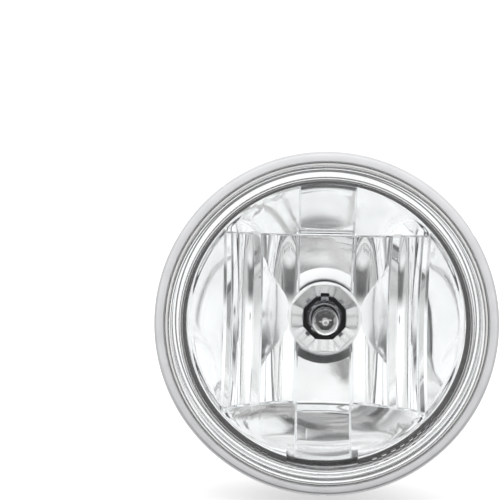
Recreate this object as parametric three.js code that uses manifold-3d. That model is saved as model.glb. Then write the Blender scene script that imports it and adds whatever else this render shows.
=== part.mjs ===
// Round fog light with a clear drum lens, a chromed fluted reflector, a twist-lock bulb and a
// tilting bracket with a screw adjuster. Lengths are millimetres. +Z is up, the light shines
// towards -Y, and the origin is the middle of the bracket's rear face, on the optical axis.

import * as THREE from "three";
import { mergeVertices } from "three/addons/utils/BufferGeometryUtils.js";
import Module from "manifold-3d";

const wasm = await Module();
wasm.setup();

// ---------------------------------------------------------------- driving dimensions

const FIT_GAP = 0.3; // between pieces that seat on each other
const RUNNING_GAP = 0.3; // between pieces that turn in each other

// Bracket, folded from sheet steel
const BRACKET_SHEET = 2.2;
const BRACKET_BEND_RADIUS = 3.4;
const BRACKET_HUB_RADIUS = 30; // round middle of the back plate
const BULB_ACCESS_RADIUS = 20; // hole that the bulb comes out through
const WING_HALF_HEIGHT = 14; // back plate where it turns into the arms
const ARM_END_RADIUS = 7;
const ARM_GAP = 1.4; // between an arm and the housing's wall
const PAD_BOLT_SPACING = 60;
const PAD_BOLT_RADIUS = 3.3;
const WELD_NUT_FLATS = 10;
const WELD_NUT_HEIGHT = 5;
const TONGUE_HALF_WIDTH = 9;

// Optical bowl: a paraboloid of revolution about the Y axis
const FOCAL_LENGTH = 19;
const REFLECTOR_WALL = 5;
const REFLECTOR_FLANGE = 2.2;
const STRIP_HALF_WIDTH = 9; // plain strip that runs down the middle of the bowl
const STRIP_RECESS = 1.2;
const INNER_FLUTE = { from: 9.9, to: 21.4 };
const OUTER_FLUTE = { from: 24.2, to: 31 };
const FLUTE_RECESS = 1.6; // at a flute's two long edges
const FLUTE_CROWN = 1.5; // how much deeper a flute is along its middle
const LEDGE_HEIGHT = 28; // of the flutes' ends above and below the axis, beside the strip
const LEDGE_RISE = 0.6; // how much higher they are at the outer edge

// Lens, its ring and its seals
const RING_OUTER_RADIUS = 55;
const RING_SHEET = 1.2;
const RING_FACE_WIDTH = 3.3;
const RING_EDGE_RADIUS = 0.9;
const RING_HOOK_WIDTH = 3.6;
const RING_GROOVE = 1.5; // between the ring's lip and the lens drum
const LENS_WALL = 3.4;
const LENS_FACE = 3;
const LENS_FLANGE = 3.5;
const LENS_DRUM_HEIGHT = 6.8; // in front of the flange
const LENS_SHOULDER_RADIUS = 3;
const LENS_CROWN = 1.4; // rise of the lens's middle
const SEAL_THICKNESS = 1.4;
const GASKET_HEIGHT = 0.8;
const RIM_STEP = 1.8; // from the drum's wall to the bowl's edge

// Housing
const HOUSING_WALL = 2.5;
const HOUSING_GAP = 1.5; // air behind the bowl
const HOUSING_FLANGE = 2.5;
const NECK_WALL = 3.6;
const NECK_LENGTH = 15.4; // from its rear face to the bowl's vertex
const NECK_LIP = 4; // the rim that the bulb's lugs lock behind
const RIB_COUNT = 8;
const RIB_THICKNESS = 2;
const RIB_SETBACK = 4; // from the neck's rear face
const RIB_INSET = 6; // from the bowl's rim
const RIB_FOOT = 4;
const RIB_CREST = 1;
const PIVOT_BEHIND_FLANGE = 24;
const PIVOT_BOSS_RADIUS = 6.5;
const PIVOT_BORE_FLOOR = 1.2; // wall left between the screw's hole and the hollow
const VENT_HEIGHT = 27;
const VENT_BOSS_RADIUS = 3.6;
const VENT_BOSS_LENGTH = 8;
const VENT_CAP_WALL = 1.8;

// Collar round the bulb
const COLLAR_RADIUS = 12.3;
const COLLAR_HEIGHT = 7; // in front of the bowl's vertex
const COLLAR_TAIL_RADIUS = 10;
const COLLAR_WALL = 1.2;
const COLLAR_LIP = 2;
const COLLAR_EDGE_RADIUS = 1.2;
const MOUTH_FLATS = 14;
const MOUTH_KEY_WIDTH = 3;
const MOUTH_KEY_DEPTH = 1.3;

// Bulb
const CAPSULE_RADIUS = 4.3;
const CAPSULE_WALL = 0.8;
const CAPSULE_TIP_PAST_FOCUS = 6;
const FILAMENT_RADIUS = 0.8;
const COIL_TUCK = 0.4; // leads run this far into the coil
const FILAMENT_LENGTH = 4.6;
const LEAD_RADIUS = 0.35;
const LEAD_SPREAD = 1.7;
const SLEEVE_WALL = 0.7;
const SLEEVE_LENGTH = 4.6;
const TAB_COUNT = 4;
const TAB_REACH = 0.8;
const TAB_FOOT = 1.2;
const TAB_INSET = 0.05;
const TAB_ANGLE = Math.PI / 9;
const BASE_SHANK_RADIUS = 10;
const BASE_POST_RADIUS = 8;
const BASE_FLANGE_RADIUS = 15;
const BASE_FLANGE = 3;
const BRACKET_TO_FLANGE = 2.4;
const POST_TO_LIP = 3;
const LUG_REACH = 2.5;
const LUG_HEIGHT = 2.5;
const LUG_ANGLE = Math.PI / 5;
const LUG_COUNT = 3;
const SLOT_TO_LUG_ANGLE = 1.15;
const TWIST_ANGLE = Math.PI / 4;
const BULB_SEAL_HEIGHT = 1.5;
const BULB_SEAL_WIDTH = 2.2;
const CONNECTOR_WIDTH = 19;
const CONNECTOR_HEIGHT = 14;
const CONNECTOR_WALL = 1.5;
const CONNECTOR_LENGTH = 16.6;
const CONNECTOR_FLOOR = 3.6;
const CONNECTOR_CORNER = 2;
const TERMINAL_WIDTH = 2.8;
const TERMINAL_THICKNESS = 0.8;
const TERMINAL_SPACING = 7;
const TERMINAL_REACH = 9; // past the connector's floor

// Pivots and adjuster
const PIVOT_SCREW_RADIUS = 3;
const PIVOT_HEAD_RADIUS = 5.4;
const PIVOT_HEAD_HEIGHT = 2.6;
const PIVOT_KEY_FLATS = 4;
const BUSH_WALL = 1.2;
const BUSH_FLANGE_RADIUS = 6.8;
const BUSH_FLANGE = 1;
const ADJUSTER_RADIUS = 3;
const ADJUSTER_HEAD_FLATS = 8;
const ADJUSTER_HEAD_HEIGHT = 5;
const ADJUSTER_WASHER_RADIUS = 5.6;
const ADJUSTER_WASHER_HEIGHT = 1.2;
const ADJUSTER_TIP = 1.6; // past the lug
const ADJUSTER_TRAVEL = 3; // room for the housing's swing
const NUT_FLATS = 9;
const NUT_LENGTH = 6;
const NUT_SWING_GAP = 0.5; // the nut tilts on the screw
const LUG_WALL = 2;
const LUG_LENGTH = 9;
const SPRING_WIRE_RADIUS = 0.5;
const SPRING_INSIDE_GAP = 0.8;
const SPRING_TURNS = 4.5;

const OVERCUT = 1; // cutters and joined solids run this far past a face

// Facets
const BIG_ROUND = 40;
const MIDDLE_ROUND = 24;
const SMALL_ROUND = 16;
const TINY_ROUND = 8;
const BOWL_STEPS = 8;

// ---------------------------------------------------------------- places along the Y axis

const BRACKET_FRONT_Y = -BRACKET_SHEET;
const BASE_FLANGE_REAR_Y = BRACKET_FRONT_Y - BRACKET_TO_FLANGE;
const BASE_FLANGE_FRONT_Y = BASE_FLANGE_REAR_Y - BASE_FLANGE;
const NECK_REAR_Y = BASE_FLANGE_FRONT_Y - FIT_GAP;
const VERTEX_Y = NECK_REAR_Y - NECK_LENGTH;

const LENS_DRUM_RADIUS = RING_OUTER_RADIUS - RING_FACE_WIDTH - RING_GROOVE;
const LENS_INNER_RADIUS = LENS_DRUM_RADIUS - LENS_WALL;
const BOWL_RIM_RADIUS = LENS_INNER_RADIUS - RIM_STEP;
const FLANGE_RADIUS = RING_OUTER_RADIUS - RING_SHEET - FIT_GAP;

const bowlY = (vertexY, radius) => vertexY - radius ** 2 / (4 * FOCAL_LENGTH);
const bowlRadius = (vertexY, y) => Math.sqrt(4 * FOCAL_LENGTH * (vertexY - y));

const REFLECTOR_FRONT_Y = bowlY(VERTEX_Y, BOWL_RIM_RADIUS);
const REFLECTOR_BACK_Y = REFLECTOR_FRONT_Y + REFLECTOR_FLANGE;
const REFLECTOR_BACK_VERTEX_Y = VERTEX_Y + REFLECTOR_WALL;
const HOUSING_INNER_VERTEX_Y = REFLECTOR_BACK_VERTEX_Y + HOUSING_GAP;
const HOUSING_OUTER_VERTEX_Y = HOUSING_INNER_VERTEX_Y + HOUSING_WALL;
const HOUSING_FLANGE_FRONT_Y = REFLECTOR_BACK_Y + FIT_GAP;
const HOUSING_FLANGE_BACK_Y = HOUSING_FLANGE_FRONT_Y + HOUSING_FLANGE;
const RING_HOOK_FRONT_Y = HOUSING_FLANGE_BACK_Y + FIT_GAP;
const SEAL_BACK_Y = REFLECTOR_FRONT_Y - FIT_GAP;
const SEAL_FRONT_Y = SEAL_BACK_Y - SEAL_THICKNESS;
const LENS_FLANGE_BACK_Y = SEAL_FRONT_Y - FIT_GAP;
const LENS_FLANGE_FRONT_Y = LENS_FLANGE_BACK_Y - LENS_FLANGE;
const RING_FACE_BACK_Y = LENS_FLANGE_FRONT_Y - FIT_GAP;
const RING_FACE_FRONT_Y = RING_FACE_BACK_Y - RING_SHEET;
const LENS_EDGE_Y = LENS_FLANGE_FRONT_Y - LENS_DRUM_HEIGHT;
const FOCUS_Y = VERTEX_Y - FOCAL_LENGTH;

const PIVOT_Y = REFLECTOR_FRONT_Y + PIVOT_BEHIND_FLANGE;
const ARM_INNER_X = bowlRadius(HOUSING_OUTER_VERTEX_Y, PIVOT_Y - ARM_END_RADIUS) + ARM_GAP;
const ARM_OUTER_X = ARM_INNER_X + BRACKET_SHEET;
const PIVOT_BORE_RADIUS = PIVOT_SCREW_RADIUS + FIT_GAP;
const PIVOT_BORE_END_X =
  bowlRadius(HOUSING_INNER_VERTEX_Y, PIVOT_Y - PIVOT_BORE_RADIUS) + PIVOT_BORE_FLOOR;

const LUG_FRONT_Y = PIVOT_Y - LUG_LENGTH / 2;
const LUG_REAR_Y = PIVOT_Y + LUG_LENGTH / 2;
const ADJUSTER_TIP_Y = LUG_FRONT_Y - ADJUSTER_TIP;
const ADJUSTER_Z = -(
  bowlRadius(HOUSING_OUTER_VERTEX_Y, ADJUSTER_TIP_Y - ADJUSTER_TRAVEL) +
  ADJUSTER_RADIUS +
  NUT_SWING_GAP
);
const LUG_HALF_WIDTH = NUT_FLATS / 2 + FIT_GAP + LUG_WALL;

const NECK_LIP_FRONT_Y = NECK_REAR_Y - NECK_LIP;
const NECK_BORE_RADIUS = BASE_SHANK_RADIUS + RUNNING_GAP;
const LUG_CIRCLE_RADIUS = BASE_SHANK_RADIUS + LUG_REACH;
const NECK_CAVITY_RADIUS = LUG_CIRCLE_RADIUS + 2 * RUNNING_GAP;
const NECK_OUTER_RADIUS = NECK_CAVITY_RADIUS + NECK_WALL;
const LUG_BACK_Y = NECK_LIP_FRONT_Y - RUNNING_GAP;
const SLOT_ANGLE = LUG_ANGLE * SLOT_TO_LUG_ANGLE;
const BASE_SHANK_FRONT_Y = LUG_BACK_Y - LUG_HEIGHT;
const COLLAR_FRONT_Y = VERTEX_Y - COLLAR_HEIGHT;
const BASE_FRONT_Y = COLLAR_FRONT_Y + COLLAR_LIP + POST_TO_LIP;

// ---------------------------------------------------------------- making solids

const point = (x, y) => new THREE.Vector2(x, y);

// A closed three.js geometry as a solid that can be joined and cut.
function solidOf(geometry) {
  const bare = geometry.clone();
  bare.deleteAttribute("normal");
  bare.deleteAttribute("uv");
  const merged = mergeVertices(bare, 1e-4);
  return new wasm.Manifold(
    new wasm.Mesh({
      numProp: 3,
      vertProperties: new Float32Array(merged.attributes.position.array),
      triVerts: new Uint32Array(merged.index.array),
    }),
  );
}

function geometryOf(solid) {
  const mesh = solid.getMesh();
  const geometry = new THREE.BufferGeometry();
  geometry.setAttribute("position", new THREE.BufferAttribute(mesh.vertProperties, mesh.numProp));
  geometry.setIndex(new THREE.BufferAttribute(mesh.triVerts, 1));
  geometry.computeVertexNormals();
  return geometry;
}

function named(name, solid, material) {
  const mesh = new THREE.Mesh(geometryOf(solid), material);
  mesh.name = name;
  return mesh;
}

// A solid of revolution about the Y axis. The outline is given as (radius, y) points; it is
// closed, or starts and ends on the axis, and may run either way round.
function turned(outline, sides = BIG_ROUND) {
  const points = THREE.ShapeUtils.area(outline) < 0 ? [...outline].reverse() : [...outline];
  const first = points[0];
  const last = points[points.length - 1];
  if (first.x > 0 || last.x > 0) points.push(first.clone());
  return solidOf(new THREE.LatheGeometry(points, sides));
}

const ringOutline = (inner, outer, y0, y1) => [
  point(inner, y0),
  point(outer, y0),
  point(outer, y1),
  point(inner, y1),
];

// A plain disc or plug about the Y axis, between two places on it.
const plug = (radius, y0, y1, sides = BIG_ROUND) =>
  turned([point(0, y0), point(radius, y0), point(radius, y1), point(0, y1)], sides);

const tube = (inner, outer, y0, y1, sides = BIG_ROUND) =>
  turned(ringOutline(inner, outer, y0, y1), sides);

// Points on a quarter circle about a centre, without its first point.
function cornerPoints(centre, radius, fromAngle, toAngle, steps = 3) {
  const points = [];
  for (let i = 1; i <= steps; i++) {
    const angle = fromAngle + ((toAngle - fromAngle) * i) / steps;
    points.push(point(centre.x + radius * Math.cos(angle), centre.y + radius * Math.sin(angle)));
  }
  return points;
}

// Points along a bowl of the given vertex, from one radius to another.
function bowlPoints(vertexY, fromRadius, toRadius, steps = BOWL_STEPS) {
  const points = [];
  for (let i = 0; i <= steps; i++) {
    const radius = fromRadius + ((toRadius - fromRadius) * i) / steps;
    points.push(point(radius, bowlY(vertexY, radius)));
  }
  return points;
}

// A solid between two planes across the Y axis, from an outline in X and Z.
function slabAcrossY(shape, y0, y1, curveSegments = 12) {
  const options = { depth: y1 - y0, bevelEnabled: false, curveSegments };
  const geometry = new THREE.ExtrudeGeometry(shape, options);
  geometry.rotateX(Math.PI / 2);
  geometry.translate(0, y1, 0);
  return solidOf(geometry);
}

// A solid between two planes across the X axis, from an outline in Y and Z.
function slabAcrossX(shape, x0, x1, curveSegments = 8) {
  const options = { depth: x1 - x0, bevelEnabled: false, curveSegments };
  const geometry = new THREE.ExtrudeGeometry(shape, options);
  const turn = new THREE.Matrix4().makeBasis(
    new THREE.Vector3(0, 1, 0),
    new THREE.Vector3(0, 0, 1),
    new THREE.Vector3(1, 0, 0),
  );
  geometry.applyMatrix4(turn);
  geometry.translate(x0, 0, 0);
  return solidOf(geometry);
}

function box(x0, x1, y0, y1, z0, z1) {
  const geometry = new THREE.BoxGeometry(x1 - x0, y1 - y0, z1 - z0);
  geometry.translate((x0 + x1) / 2, (y0 + y1) / 2, (z0 + z1) / 2);
  return solidOf(geometry);
}

function regularShape(sides, acrossFlats) {
  const shape = new THREE.Shape();
  const radius = acrossFlats / 2 / Math.cos(Math.PI / sides);
  for (let i = 0; i < sides; i++) {
    const angle = (Math.PI * (2 * i + 1)) / sides;
    const corner = point(radius * Math.cos(angle), radius * Math.sin(angle));
    if (i === 0) shape.moveTo(corner.x, corner.y);
    else shape.lineTo(corner.x, corner.y);
  }
  shape.closePath();
  return shape;
}

function roundedRectangle(width, height, corner) {
  const shape = new THREE.Shape();
  const x = width / 2;
  const y = height / 2;
  shape.moveTo(-x + corner, -y);
  shape.lineTo(x - corner, -y);
  shape.absarc(x - corner, -y + corner, corner, -Math.PI / 2, 0);
  shape.lineTo(x, y - corner);
  shape.absarc(x - corner, y - corner, corner, 0, Math.PI / 2);
  shape.lineTo(-x + corner, y);
  shape.absarc(-x + corner, y - corner, corner, Math.PI / 2, Math.PI);
  shape.lineTo(-x, -y + corner);
  shape.absarc(-x + corner, -y + corner, corner, Math.PI, 1.5 * Math.PI);
  return shape;
}

// A slice of a ring about the Y axis, centred on an angle from +Z.
function ringSector(inner, outer, y0, y1, middle, spread) {
  const shape = new THREE.Shape();
  const from = Math.PI / 2 - middle - spread / 2;
  shape.absarc(0, 0, outer, from, from + spread, false);
  shape.absarc(0, 0, inner, from + spread, from, true);
  shape.closePath();
  return slabAcrossY(shape, y0, y1, 4);
}

// The same solid turned from the Y axis onto the X axis, its front towards +X or -X.
function ontoX(solid, side) {
  return solid.rotate([0, 0, side * 90]);
}

// ---------------------------------------------------------------- finishes

const finish = (color, roughness, metalness, extra = {}) =>
  new THREE.MeshStandardMaterial({ color, roughness, metalness, ...extra });

const CLEAR_GLASS = finish("#f4f7f7", 0.05, 0, { transparent: true, opacity: 0.3 });
const SATIN_METAL = finish("#cfd0d1", 0.35, 1);
const BRIGHT_CHROME = finish("#e6e8ea", 0.06, 1);
const BLACK_PLASTIC = finish("#16171a", 0.55, 0);
const BLACK_RUBBER = finish("#0e0e0f", 0.8, 0);
const ZINC_STEEL = finish("#aeb1b3", 0.4, 1);
const PALE_SILICONE = finish("#cdcdca", 0.5, 0);
const BLACKENED_STEEL = finish("#3c3c3e", 0.35, 1);
const NATURAL_NYLON = finish("#e4dfcf", 0.5, 0);
const TUNGSTEN = finish("#6d6a66", 0.4, 1);
const TINNED_BRASS = finish("#c9c4b4", 0.3, 1);

// ---------------------------------------------------------------- lens and ring

function lens() {
  const shoulder = LENS_SHOULDER_RADIUS;
  const fillet = LENS_SHOULDER_RADIUS / 2;
  const innerEdgeY = LENS_EDGE_Y + LENS_FACE;
  const crownSteps = [0, 0.35, 0.7];
  const flatRadius = LENS_DRUM_RADIUS - shoulder;
  const innerFlatRadius = LENS_INNER_RADIUS - fillet;
  const domed = (edgeY, share) => edgeY - LENS_CROWN * (1 - share ** 2);
  const outline = [
    ...crownSteps.map((share) => point(flatRadius * share, domed(LENS_EDGE_Y, share))),
    point(flatRadius, LENS_EDGE_Y),
    ...cornerPoints(point(flatRadius, LENS_EDGE_Y + shoulder), shoulder, -Math.PI / 2, 0),
    point(LENS_DRUM_RADIUS, LENS_FLANGE_FRONT_Y),
    point(FLANGE_RADIUS, LENS_FLANGE_FRONT_Y),
    point(FLANGE_RADIUS, LENS_FLANGE_BACK_Y),
    point(LENS_INNER_RADIUS, LENS_FLANGE_BACK_Y),
    point(LENS_INNER_RADIUS, innerEdgeY + fillet),
    ...cornerPoints(point(innerFlatRadius, innerEdgeY + fillet), fillet, 0, -Math.PI / 2),
    ...crownSteps.toReversed().map((share) => point(innerFlatRadius * share, domed(innerEdgeY, share))),
  ];
  return named("lens", turned(outline), CLEAR_GLASS);
}

function lensRing() {
  const edge = RING_EDGE_RADIUS;
  const outer = RING_OUTER_RADIUS;
  const lip = outer - RING_FACE_WIDTH;
  const skirt = outer - RING_SHEET;
  const hook = outer - RING_HOOK_WIDTH;
  const outline = [
    point(lip, RING_FACE_FRONT_Y),
    point(outer - edge, RING_FACE_FRONT_Y),
    ...cornerPoints(point(outer - edge, RING_FACE_FRONT_Y + edge), edge, -Math.PI / 2, 0, 2),
    point(outer, RING_HOOK_FRONT_Y + RING_SHEET),
    point(hook, RING_HOOK_FRONT_Y + RING_SHEET),
    point(hook, RING_HOOK_FRONT_Y),
    point(skirt, RING_HOOK_FRONT_Y),
    point(skirt, RING_FACE_BACK_Y),
    point(lip, RING_FACE_BACK_Y),
  ];
  return named("lens_ring", turned(outline), SATIN_METAL);
}

function ringGasket() {
  const inner = LENS_DRUM_RADIUS + FIT_GAP;
  const outer = RING_OUTER_RADIUS - RING_FACE_WIDTH - FIT_GAP;
  const back = LENS_FLANGE_FRONT_Y - FIT_GAP;
  return named("ring_gasket", tube(inner, outer, back - GASKET_HEIGHT, back), PALE_SILICONE);
}

function lensSeal() {
  const ring = tube(LENS_DRUM_RADIUS, FLANGE_RADIUS, SEAL_FRONT_Y, SEAL_BACK_Y);
  return named("lens_seal", ring, PALE_SILICONE);
}

// ---------------------------------------------------------------- reflector and collar

const ledgeHeight = (x) => {
  const share = (Math.abs(x) - STRIP_HALF_WIDTH) / (OUTER_FLUTE.to - STRIP_HALF_WIDTH);
  return LEDGE_HEIGHT + LEDGE_RISE * Math.max(share, 0) ** 2;
};

// A block that reaches from in front of the bowl to a shaped floor behind its surface. The floor
// is given as how far it lies behind the bowl at (x, z).
function sunkBlock(fromX, toX, halfHeight, sunk, columns, rows) {
  const geometry = new THREE.BoxGeometry(1, 1, 1, columns, 1, rows);
  const position = geometry.attributes.position;
  for (let i = 0; i < position.count; i++) {
    const x = fromX + (toX - fromX) * (position.getX(i) + 0.5);
    const z = 2 * halfHeight(x) * position.getZ(i);
    const floor = bowlY(VERTEX_Y, Math.hypot(x, z)) + sunk(x);
    const y = position.getY(i) > 0 ? floor : REFLECTOR_FRONT_Y - BOWL_RIM_RADIUS;
    position.setXYZ(i, x, y, z);
  }
  return solidOf(geometry);
}

function fluteBlock(flute, side) {
  const middle = (flute.from + flute.to) / 2;
  const half = (flute.to - flute.from) / 2;
  const sunk = (x) => FLUTE_RECESS + FLUTE_CROWN * (1 - ((Math.abs(x) - middle) / half) ** 2);
  const ends = side > 0 ? [flute.from, flute.to] : [-flute.to, -flute.from];
  return sunkBlock(ends[0], ends[1], ledgeHeight, sunk, 5, 8);
}

function reflector() {
  const holeRadius = COLLAR_TAIL_RADIUS + FIT_GAP;
  const backRadius = bowlRadius(REFLECTOR_BACK_VERTEX_Y, REFLECTOR_BACK_Y);
  const outline = [
    ...bowlPoints(VERTEX_Y, holeRadius, BOWL_RIM_RADIUS),
    point(FLANGE_RADIUS, REFLECTOR_FRONT_Y),
    point(FLANGE_RADIUS, REFLECTOR_BACK_Y),
    ...bowlPoints(REFLECTOR_BACK_VERTEX_Y, backRadius, holeRadius, 5),
  ];
  const stripHeight = () => Math.sqrt(BOWL_RIM_RADIUS ** 2 - STRIP_HALF_WIDTH ** 2) - 1;
  const strip = [-STRIP_HALF_WIDTH, STRIP_HALF_WIDTH];
  let bowl = turned(outline);
  bowl = bowl.subtract(sunkBlock(strip[0], strip[1], stripHeight, () => STRIP_RECESS, 4, 12));
  for (const side of [1, -1]) {
    bowl = bowl.subtract(fluteBlock(INNER_FLUTE, side));
    bowl = bowl.subtract(fluteBlock(OUTER_FLUTE, side));
  }
  return named("reflector", bowl, BRIGHT_CHROME);
}

function bulbCollar() {
  const edge = COLLAR_EDGE_RADIUS;
  const seatY = bowlY(VERTEX_Y, COLLAR_RADIUS) - FIT_GAP;
  const tailY = REFLECTOR_BACK_VERTEX_Y;
  const cavity = COLLAR_TAIL_RADIUS - COLLAR_WALL;
  const outline = [
    point(0, COLLAR_FRONT_Y),
    point(COLLAR_RADIUS - edge, COLLAR_FRONT_Y),
    ...cornerPoints(point(COLLAR_RADIUS - edge, COLLAR_FRONT_Y + edge), edge, -Math.PI / 2, 0),
    point(COLLAR_RADIUS, seatY),
    point(COLLAR_TAIL_RADIUS, seatY),
    point(COLLAR_TAIL_RADIUS, tailY),
    point(cavity, tailY),
    point(cavity, COLLAR_FRONT_Y + COLLAR_LIP),
    point(0, COLLAR_FRONT_Y + COLLAR_LIP),
  ];
  const mouth = slabAcrossY(regularShape(8, MOUTH_FLATS), COLLAR_FRONT_Y - OVERCUT, tailY);
  const keyTop = MOUTH_FLATS / 2 + MOUTH_KEY_DEPTH;
  const halfKey = MOUTH_KEY_WIDTH / 2;
  const keyBackY = COLLAR_FRONT_Y + COLLAR_LIP + 1;
  const key = box(-halfKey, halfKey, COLLAR_FRONT_Y - OVERCUT, keyBackY, 0, keyTop);
  return named("bulb_collar", turned(outline, MIDDLE_ROUND).subtract(mouth.add(key)), BRIGHT_CHROME);
}

// ---------------------------------------------------------------- housing

function housingShell() {
  const outerRadius = bowlRadius(HOUSING_OUTER_VERTEX_Y, HOUSING_FLANGE_BACK_Y);
  const outline = [
    point(0, HOUSING_FLANGE_FRONT_Y),
    point(FLANGE_RADIUS, HOUSING_FLANGE_FRONT_Y),
    point(FLANGE_RADIUS, HOUSING_FLANGE_BACK_Y),
    ...bowlPoints(HOUSING_OUTER_VERTEX_Y, outerRadius, NECK_OUTER_RADIUS),
    point(NECK_OUTER_RADIUS, NECK_REAR_Y),
    point(0, NECK_REAR_Y),
  ];
  return turned(outline);
}

function housingHollow() {
  const mouthRadius = bowlRadius(HOUSING_INNER_VERTEX_Y, HOUSING_FLANGE_FRONT_Y - OVERCUT);
  const hollow = turned([
    point(0, HOUSING_FLANGE_FRONT_Y - OVERCUT),
    ...bowlPoints(HOUSING_INNER_VERTEX_Y, mouthRadius, NECK_CAVITY_RADIUS, 6),
    point(NECK_CAVITY_RADIUS, NECK_LIP_FRONT_Y),
    point(0, NECK_LIP_FRONT_Y),
  ]);
  const sealSeat = NECK_REAR_Y - BULB_SEAL_HEIGHT - FIT_GAP;
  const sealRadius = NECK_BORE_RADIUS + BULB_SEAL_WIDTH + 2 * FIT_GAP;
  let cut = hollow.add(plug(NECK_BORE_RADIUS, NECK_LIP_FRONT_Y - OVERCUT, NECK_REAR_Y + OVERCUT));
  cut = cut.add(plug(sealRadius, sealSeat, NECK_REAR_Y + OVERCUT));
  for (let i = 0; i < LUG_COUNT; i++) {
    const middle = TWIST_ANGLE + (2 * Math.PI * i) / LUG_COUNT;
    const slotRadius = LUG_CIRCLE_RADIUS + RUNNING_GAP;
    const slot = [NECK_LIP_FRONT_Y - OVERCUT, NECK_REAR_Y + OVERCUT, middle, SLOT_ANGLE];
    cut = cut.add(ringSector(BASE_SHANK_RADIUS - 2, slotRadius, ...slot));
  }
  return cut;
}

// Thin web from the neck out along the bowl's back, at an angle from +Z.
function housingRib(angle) {
  const reach = BOWL_RIM_RADIUS - RIB_INSET;
  const rib = new THREE.Shape();
  rib.moveTo(HOUSING_FLANGE_BACK_Y, 0);
  rib.lineTo(HOUSING_FLANGE_BACK_Y, reach + RIB_FOOT);
  rib.lineTo(bowlY(HOUSING_OUTER_VERTEX_Y, reach) + RIB_CREST, reach);
  rib.lineTo(NECK_REAR_Y - RIB_SETBACK, NECK_OUTER_RADIUS + RIB_CREST * 2);
  rib.lineTo(NECK_REAR_Y - RIB_SETBACK, 0);
  rib.closePath();
  const web = slabAcrossX(rib, -RIB_THICKNESS / 2, RIB_THICKNESS / 2);
  return web.rotate([0, THREE.MathUtils.radToDeg(angle), 0]);
}

function pivotBoss(side) {
  const outer = ARM_INNER_X - BUSH_FLANGE - 2 * RUNNING_GAP;
  return ontoX(plug(PIVOT_BOSS_RADIUS, -outer, 0, SMALL_ROUND), side).translate([0, PIVOT_Y, 0]);
}

function pivotBore(side) {
  const bore = plug(PIVOT_BORE_RADIUS, -ARM_INNER_X, -PIVOT_BORE_END_X, SMALL_ROUND);
  return ontoX(bore, side).translate([0, PIVOT_Y, 0]);
}

function adjusterLug() {
  const bottom = ADJUSTER_Z - LUG_HALF_WIDTH;
  return box(-LUG_HALF_WIDTH, LUG_HALF_WIDTH, LUG_FRONT_Y, LUG_REAR_Y, bottom, 0);
}

function adjusterPocket() {
  const half = NUT_FLATS / 2 + FIT_GAP;
  const floorY = LUG_REAR_Y - NUT_LENGTH - FIT_GAP;
  const pocket = box(-half, half, floorY, LUG_REAR_Y + OVERCUT, ADJUSTER_Z - half, ADJUSTER_Z + half);
  const clearance = ADJUSTER_RADIUS + 2 * NUT_SWING_GAP;
  const way = plug(clearance, ADJUSTER_TIP_Y - ADJUSTER_TRAVEL, floorY + 1, SMALL_ROUND);
  return pocket.add(way.translate([0, 0, ADJUSTER_Z]));
}

const VENT_SURFACE_Y = bowlY(HOUSING_OUTER_VERTEX_Y, VENT_HEIGHT);
const VENT_END_Y = VENT_SURFACE_Y + VENT_BOSS_LENGTH;

function housing() {
  let body = housingShell();
  for (let i = 0; i < RIB_COUNT; i++) {
    body = body.add(housingRib((2 * Math.PI * (i + 0.5)) / RIB_COUNT));
  }
  body = body.add(adjusterLug()).add(pivotBoss(1)).add(pivotBoss(-1));
  const vent = plug(VENT_BOSS_RADIUS, VENT_SURFACE_Y - HOUSING_WALL, VENT_END_Y, SMALL_ROUND);
  body = body.add(vent.translate([0, 0, VENT_HEIGHT]));
  body = body.subtract(housingHollow()).subtract(adjusterPocket());
  body = body.subtract(pivotBore(1)).subtract(pivotBore(-1));
  const drill = plug(VENT_BOSS_RADIUS / 2, HOUSING_FLANGE_FRONT_Y, VENT_END_Y + OVERCUT, TINY_ROUND);
  body = body.subtract(drill.translate([0, 0, VENT_HEIGHT]));
  return named("housing", body, BLACK_PLASTIC);
}

function ventCap() {
  const inner = VENT_BOSS_RADIUS + FIT_GAP;
  const outer = inner + VENT_CAP_WALL;
  const openY = VENT_SURFACE_Y + VENT_BOSS_LENGTH / 2;
  const closedY = VENT_END_Y + FIT_GAP;
  const outline = [
    point(inner, openY),
    point(outer, openY),
    point(outer, closedY + VENT_CAP_WALL),
    point(0, closedY + VENT_CAP_WALL),
    point(0, closedY),
    point(inner, closedY),
  ];
  const cap = new THREE.LatheGeometry([...outline.slice(4), ...outline.slice(0, 4)], SMALL_ROUND);
  return named("vent_cap", solidOf(cap).translate([0, 0, VENT_HEIGHT]), BLACK_RUBBER);
}

// ---------------------------------------------------------------- bulb

function bulbCapsule() {
  const tipY = FOCUS_Y - CAPSULE_TIP_PAST_FOCUS;
  const backY = BASE_FRONT_Y - FIT_GAP;
  const inner = CAPSULE_RADIUS - CAPSULE_WALL;
  const outerCentre = point(0, tipY + CAPSULE_RADIUS);
  const quarter = Math.PI / 2;
  const outline = [
    point(0, tipY),
    ...cornerPoints(outerCentre, CAPSULE_RADIUS, -quarter, 0, 4),
    point(CAPSULE_RADIUS, backY),
    point(inner, backY),
    point(inner, outerCentre.y),
    ...cornerPoints(outerCentre, inner, 0, -quarter, 3).slice(0, -1),
    point(0, outerCentre.y - inner),
  ];
  return named("bulb_capsule", turned(outline, SMALL_ROUND), CLEAR_GLASS);
}

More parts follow.
